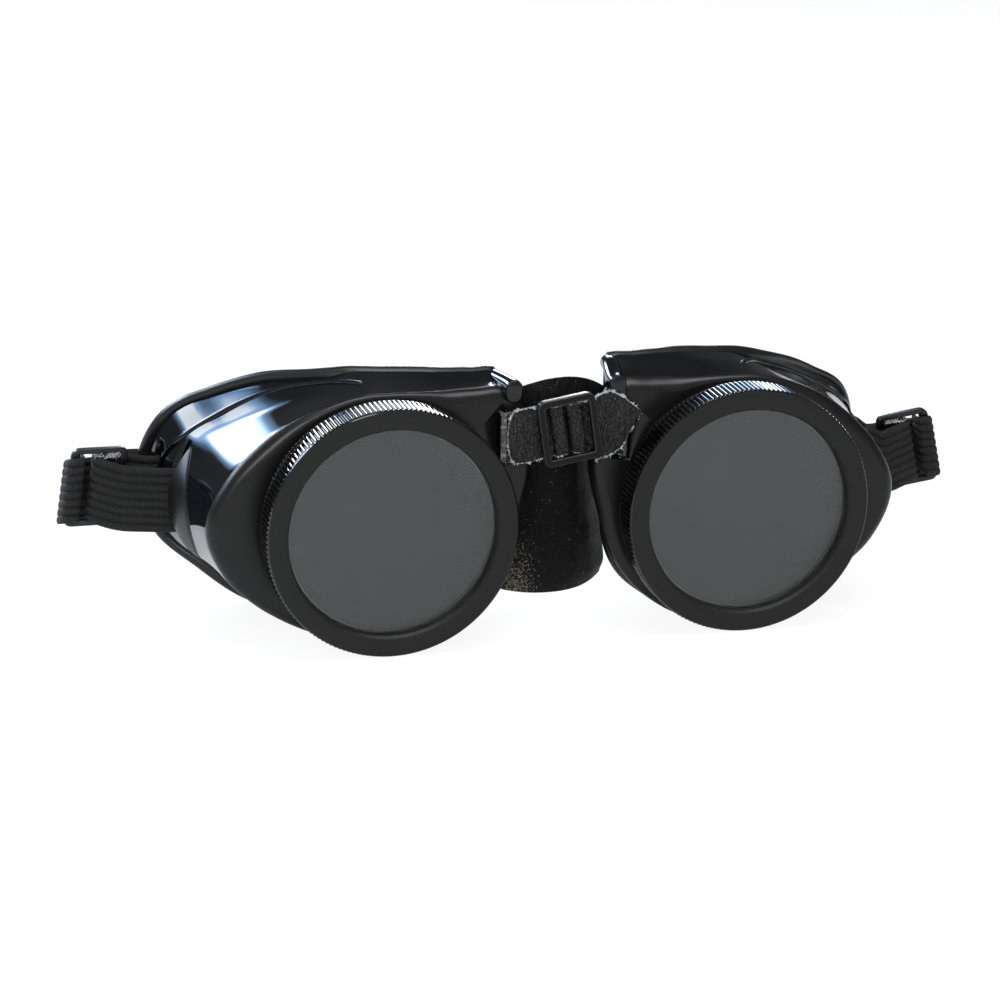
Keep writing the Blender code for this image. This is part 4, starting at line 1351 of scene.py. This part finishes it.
def makeBuckle():
    width, height = bridge["buckleWidth"] - bridge["rail"], bridge["buckleHeight"] - bridge["rail"]
    depth = buckleBack - bridge["buckleDepth"] / 2
    middle = Vector((0, depth, bridge["height"] + bridge["buckleUp"]))
    railRound, cornerRound = bridge["rounds"]
    section = roundedRectangle(bridge["rail"], bridge["buckleDepth"], railRound, 3)
    # the middle of each rounded corner of the rail's section is marked for the paler colour: rub wear and a
    # painted highlight
    rubAndHighlight = [(0, mark) for mark in (0, 1, 1, 0)] * 4
    loops = frameLoops(roundedRectangle(width, height, cornerRound, 6), section)
    bm = startMesh()
    loft(bm, loops, closed=True, marks=[rubAndHighlight] * len(loops))
    post = height / 2
    bar = barBack - bridge["bar"] / 2 - depth
    circle = roundSection(bridge["bar"] / 2, 10)
    for out in (-1, 1):
        x = out * bridge["barSpacing"] / 2
        bends = [(0, post), (bar - bridge["barBend"][0], post), (bar, post - bridge["barBend"][1])]
        path = [Vector((x, y, z)) for y, z in bends + [(y, -z) for y, z in bends[::-1]]]
        sweep = []
        for i, here in enumerate(path):
            run = (path[min(i + 1, len(path) - 1)] - path[max(i - 1, 0)]).normalized()
            normal = run.cross(Vector((1, 0, 0)))
            sweep.append([here + Vector((a, 0, 0)) + normal * b for a, b in circle])
        loft(bm, sweep)
    tilt = Matrix.Translation(middle) @ Matrix.Rotation(-math.radians(bridge["tilt"]), 4, "Y")
    bmesh.ops.transform(bm, matrix=tilt, verts=bm.verts)
    buckle = toObject("buckle_frame", bm, 1, (looks["buckle"],), angle=40)
    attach(buckle, "bridge")
    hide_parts("bridge_buckle")


pad = {
    "top": 1.025 * ringRadius,
    "bottom": 0.765 * ringRadius,
    "halves": ((0, 15.2), (0.2, 13.4), (0.42, 12.5), (0.6, 13.4), (0.78, 14.9), (0.93, 15.6), (1, 14.8)),
    "topFront": 14.2,
    "bottomFront": 18.2,
    "thickness": 3.0,
    "sag": (10.4, 7.6),  # how far the sides lie back, at the top and at the bottom
    "topArc": 7.6,
    "topTilt": 1.0,
    "bottomArc": 1.6,
    "crown": 0.9,
    "folds": ((0.25, 2.2, 5, 0), (0.16, 6, 2.2, 4), (0.07, 12, 18, 0)),
    "markLength": 50,
    "rows": 72,
    "columns": 48,
}


def padHalf(v):
    for (a, first), (b, last) in zip(pad["halves"], pad["halves"][1:]):
        if v <= b:
            return first + (last - first) * smooth(a, b, v)


def makePad():
    bm = startMesh()
    loops, marks = [], []
    rows, columns = pad["rows"], pad["columns"]
    for row in range(rows + 1):
        v = row / rows
        fall = v * v * (3 - 2 * v)
        half = padHalf(v)
        front = pad["topFront"] + (pad["bottomFront"] - pad["topFront"]) * fall
        sag = pad["sag"][0] + (pad["sag"][1] - pad["sag"][0]) * fall
        loop, mark = [], []
        for face in (1, -1):
            for j in range(columns + 1):
                u = face * (2 * j / columns - 1)
                top = pad["top"] - pad["topArc"] * u * u + pad["topTilt"] * u
                low = -pad["bottom"] - pad["crown"] + pad["bottomArc"] * u**4
                crown = (1 - u**4) * (1 - (2 * v - 1) ** 6)
                edge = 1 - (2 * v - 1) ** 12 * 0.65
                middle = front + sag * u * u + pad["thickness"] / 2
                deep = pad["thickness"] * 0.275 * edge * (1 - 0.4 * u**10) + pad["crown"] * crown
                y = middle - face * (deep + foldHeight(pad["folds"], u, v, shift=face) * crown)
                loop.append(Vector((half * u, y, top + (low - top) * v)))
                mark.append((v * pad["markLength"], u))
        loops.append(loop)
        marks.append(mark)
    loft(bm, loops, marks=marks)
    piece = toObject("nose_saddle", bm, 1, (looks["pad"],), angle=60)
    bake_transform(piece, "left_side", "bridge", worldPoint(-15, 0, 0), worldPoint(0, 0, 0))
    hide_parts("nose_pad")


# Elastic band and sliders
band = {
    "width": 15.2,
    "thickness": 1.3,
    "ribs": 8,
    "columns": 64,
    "bendSteps": 8,
    "loopStep": 0.8,
    "headStep": 1.2,
    "tight": 1.4,  # radius of the turns, as a share of the thickness
    "bulge": (4.6, 5.0),  # how far inside the slider the loop bulges, and how wide its turn is
    "outside": (1.2, 1.6),  # run outside the front slot and outside the rear one
    "depths": (0.15, 0.48, 0.37),  # shares of the thickness of the edge, the web and the ribs
    "hang": (-3, 5),  # from the temple rim, where the band starts to hang and hangs fully
    # The headband behind the cups
    "behind": 5.0,
    "heights": (-2.8, -5.6),
    "bend": 14,
    "inwards": 0.72,
    "offset": 2.5,
}
templeRim = lensOut + 1.64 * ringRadius
slider = {
    "out": templeRim + 11.5,
    "back": cup["depth"] - 13.2,
    "width": 13.6,
    "height": 18.2,
    "thickness": 1.7,
    "bars": (-5.75, -1.0, 4.8),  # places of the three bars from the middle
    "bar": 1.5,
    "rail": 1.3,
    "corner": 1.2,
    "inset": 0.7,
    "rounds": (0.35, 0.45),  # of the rails and of the bars
    "shorter": 0.6,  # how much shorter the outer bars are at either end
    "up": 0.4,
    "bandUp": 0.1,
    "bandDrop": 2.2,  # how much lower the back layer runs
    "play": 0.15,
}


def ribDepth(v):
    fade = (1 - abs(v) ** 14) ** 0.5
    ribs = abs(math.sin(math.pi * band["ribs"] / 2 * (v + 1)))
    edge, web, rise = band["depths"]
    return band["thickness"] / 2 * (edge + fade * (web + rise * ribs**0.6))


def sliderBar(bar):
    return slider["out"] + slider["bars"][bar + 1]


near = slider["back"] - slider["thickness"] / 2 - slider["play"] - band["thickness"] / 2
far = slider["back"] + slider["thickness"] / 2 + slider["play"] + band["thickness"] / 2
wrap = slider["bar"] / 2 + slider["play"] + band["thickness"] / 2
tight = band["thickness"] * band["tight"]
bandTurn = templeRim + 3.4  # where the headband turns behind the cup


def loopCorners(side):
    thick = band["thickness"]
    low, up = slots["middle"], slider["bandUp"]
    half = (low + up) / 2
    wall = templeOut(slots["front"], low)
    back = templeOut(slots["rear"], low)
    fall = wall - templeOut(slots["front"], low - band["width"] / 2)
    inside = cup["wall"] + cup["waist"] + fall + gap + thick / 2
    (before, wide), (frontRun, rearRun) = band["bulge"], band["outside"]
    places = [
        (sliderBar(0) - wrap, far, up),
        (sliderBar(0) + wrap, far, up),
        (sliderBar(0) + wrap, near, up),
        (sliderBar(0) - before, near - lie[side]["bulge"], lie[side]["middle"]),
        (wall + frontRun, slots["front"] + 0.2, low),
        (wall - inside, slots["front"], low),
        (back - inside, slots["rear"], low),
        (back + rearRun, slots["rear"], low),
        (sliderBar(-1) - wrap, far + thick + gap, half),
        (sliderBar(0) + wrap, far + thick + gap, up),
    ]
    bends = [tight] * 3 + [wide] + [tight] * 6
    return [(*place, band["width"], 0, bend) for place, bend in zip(places, bends)]


def elasticPiece(name, path, side):
    bm = startMesh()
    loops, marks = strapLoops(path, band["columns"], ribDepth)
    loft(bm, loops, marks=marks)
    hangBand(bm, side)
    piece = toObject(name, bm, side, (looks["elastic"],))
    return piece


def makeBandLoop(side, word):
    path = fineSteps(bendPath(loopCorners(side), band["bendSteps"]), band["loopStep"])
    piece = elasticPiece(word + "_band_loop", path, side)
    start = worldPoint(side * (templeOut(slots["rear"], 0) + 1.5), 0, 0)
    end = worldPoint(side * (sliderBar(-1) - slider["bar"]), 0, 0)
    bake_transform(piece, word + "_side", word + "_band_slider", start, end)
    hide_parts(word + "_strap_loop")


def bandCorners():
    thick = band["thickness"]
    behind = far + 2 * (gap + thick)
    rear = cup["depth"] + band["behind"] + thick / 2
    up = slider["bandUp"]
    middle, low = band["heights"]
    return [
        (sliderBar(1) - wrap, far, up, tight),
        (sliderBar(1) - wrap, near, up, tight),
        (sliderBar(1) + wrap, near, up, tight),
        (sliderBar(1) + wrap, behind, up - slider["bandDrop"], tight),
        (bandTurn, behind + band["offset"], up - slider["bandDrop"], band["bend"]),
        (bandTurn, cup["depth"], middle, band["bend"]),
        (templeRim * band["inwards"], rear, low, band["bend"]),
        (0, rear, low, band["bend"]),
    ]


def makeHeadband():
    corners = [(x, y, z, band["width"], 0, bend) for x, y, z, bend in bandCorners()]
    path = fineSteps(bendPath(corners, band["bendSteps"]), band["headStep"])
    split = next(i for i, p in enumerate(path) if p[0] < bandTurn + 0.05 and p[1] > slider["back"] + 6)
    for side, word in sides:
        end = elasticPiece(word + "_band_end", path[: split + 1], side)
        start = worldPoint(side * (sliderBar(-1) - 1), 0, 0)
        stop = worldPoint(side * bandTurn, 0, 0)
        if side < 0:
            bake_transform(end, word + "_band_slider", word + "_side", start, stop)
        else:
            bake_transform(end, word + "_side", word + "_band_slider", stop, start)
        half = elasticPiece(word + "_band_half", path[split:], side)
        outer, middle = worldPoint(side * templeRim * 0.9, 0, 0), worldPoint(side * 2, 0, 0)
        if side < 0:
            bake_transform(half, "left_side", "bridge", outer, middle)
        else:
            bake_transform(half, "bridge", "right_side", middle, outer)
        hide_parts("headband")


def makeSlider(side, word):
    bm = startMesh()
    width, height = slider["width"], slider["height"]
    bar, rail, thick = slider["bar"], slider["rail"], slider["thickness"]
    railRound, barRound = slider["rounds"]
    section = roundedRectangle(rail, thick, railRound, 3)
    outline = roundedRectangle(width - rail, height - rail, slider["corner"], 5)
    loft(bm, frameLoops(outline, section, slider["inset"]), closed=True)
    upright = roundedRectangle(bar, thick, barRound, 3)
    for k in (-1, 0, 1):
        x = slider["bars"][k + 1]
        tall = height / 2 - rail / 2 - abs(k) * slider["shorter"]
        loft(bm, [[Vector((x + a, b, z)) for a, b in upright] for z in (-tall, tall)])
    bmesh.ops.translate(bm, vec=(slider["out"], slider["back"], slider["up"]), verts=bm.verts)
    hangBand(bm, side)
    piece = toObject(word + "_slider_frame", bm, side, (looks["slider"],), angle=40)
    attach(piece, word + "_band_slider")
    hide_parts(word + "_slider")


# Loose rubber threads at the band's cut end
fray = {
    "count": 110,
    "length": (0.5, 1.5),
    "radius": 0.07,
    "seed": 7,
    "down": (0, 0.5),
    "inwards": (-0.3, 5.5),
    "back": (0.4, 0.2),
    "lean": ((-1, 1), (-0.4, 0.7), (-0.2, 0.7)),
    "curl": 0.3,
    "places": (0, 0.33, 0.66, 1),
    "sizes": (1, 0.9, 0.75, 0.4),
}


def makeFray(side, word):
    random.seed(fray["seed"] + side)
    bm = startMesh()
    for _ in range(fray["count"]):
        height = slider["bandUp"] + band["width"] / 2 - random.uniform(*fray["down"])
        x = sliderBar(0) + wrap - random.uniform(*fray["inwards"])
        start = Vector((x, random.uniform(near + fray["back"][0], far + fray["back"][1]), height))
        lean = Vector([random.uniform(*span) for span in fray["lean"]]).normalized()
        curl = Vector([random.uniform(-1, 1) for _ in range(3)]) * fray["curl"]
        addHair(bm, fray, fray["radius"], start, lean, curl, random.uniform(*fray["length"]))
    hangBand(bm, side)
    piece = toObject(word + "_band_fray", bm, side, (looks["fray"],), angle=60)
    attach(piece, word + "_band_slider")


def dressNodes():
    for _, word in sides:
        for node, look in (
            ("cover_lens", "cover"),
            ("filter_lens", "filter"),
            ("spacer_washer", "washer"),
            ("seat_gasket", "gasket"),
        ):
            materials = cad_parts[word + "_" + node].data.materials
            materials.clear()
            materials.append(looks[look])


bpy.context.scene.view_settings.view_transform = "Standard"
makeCamera()
makeLamps()
makeWorld()
makeFloor()
print("camera, light and floor are up")
for side, word in sides:
    makeCup(side, word)
    makeHood(side, word)
    makeRib(side, word)
    makeEar(side, word)
    makeThread(side, word)
    makeRing(side, word)
print("cups and rings are made")
for side, word in sides:
    makeBridgeStrap(side, word)
makeBuckle()
makePad()
print("bridge is made")
for side, word in sides:
    makeBandLoop(side, word)
    makeSlider(side, word)
    makeFray(side, word)
makeHeadband()
print("band and sliders are made")
dressNodes()
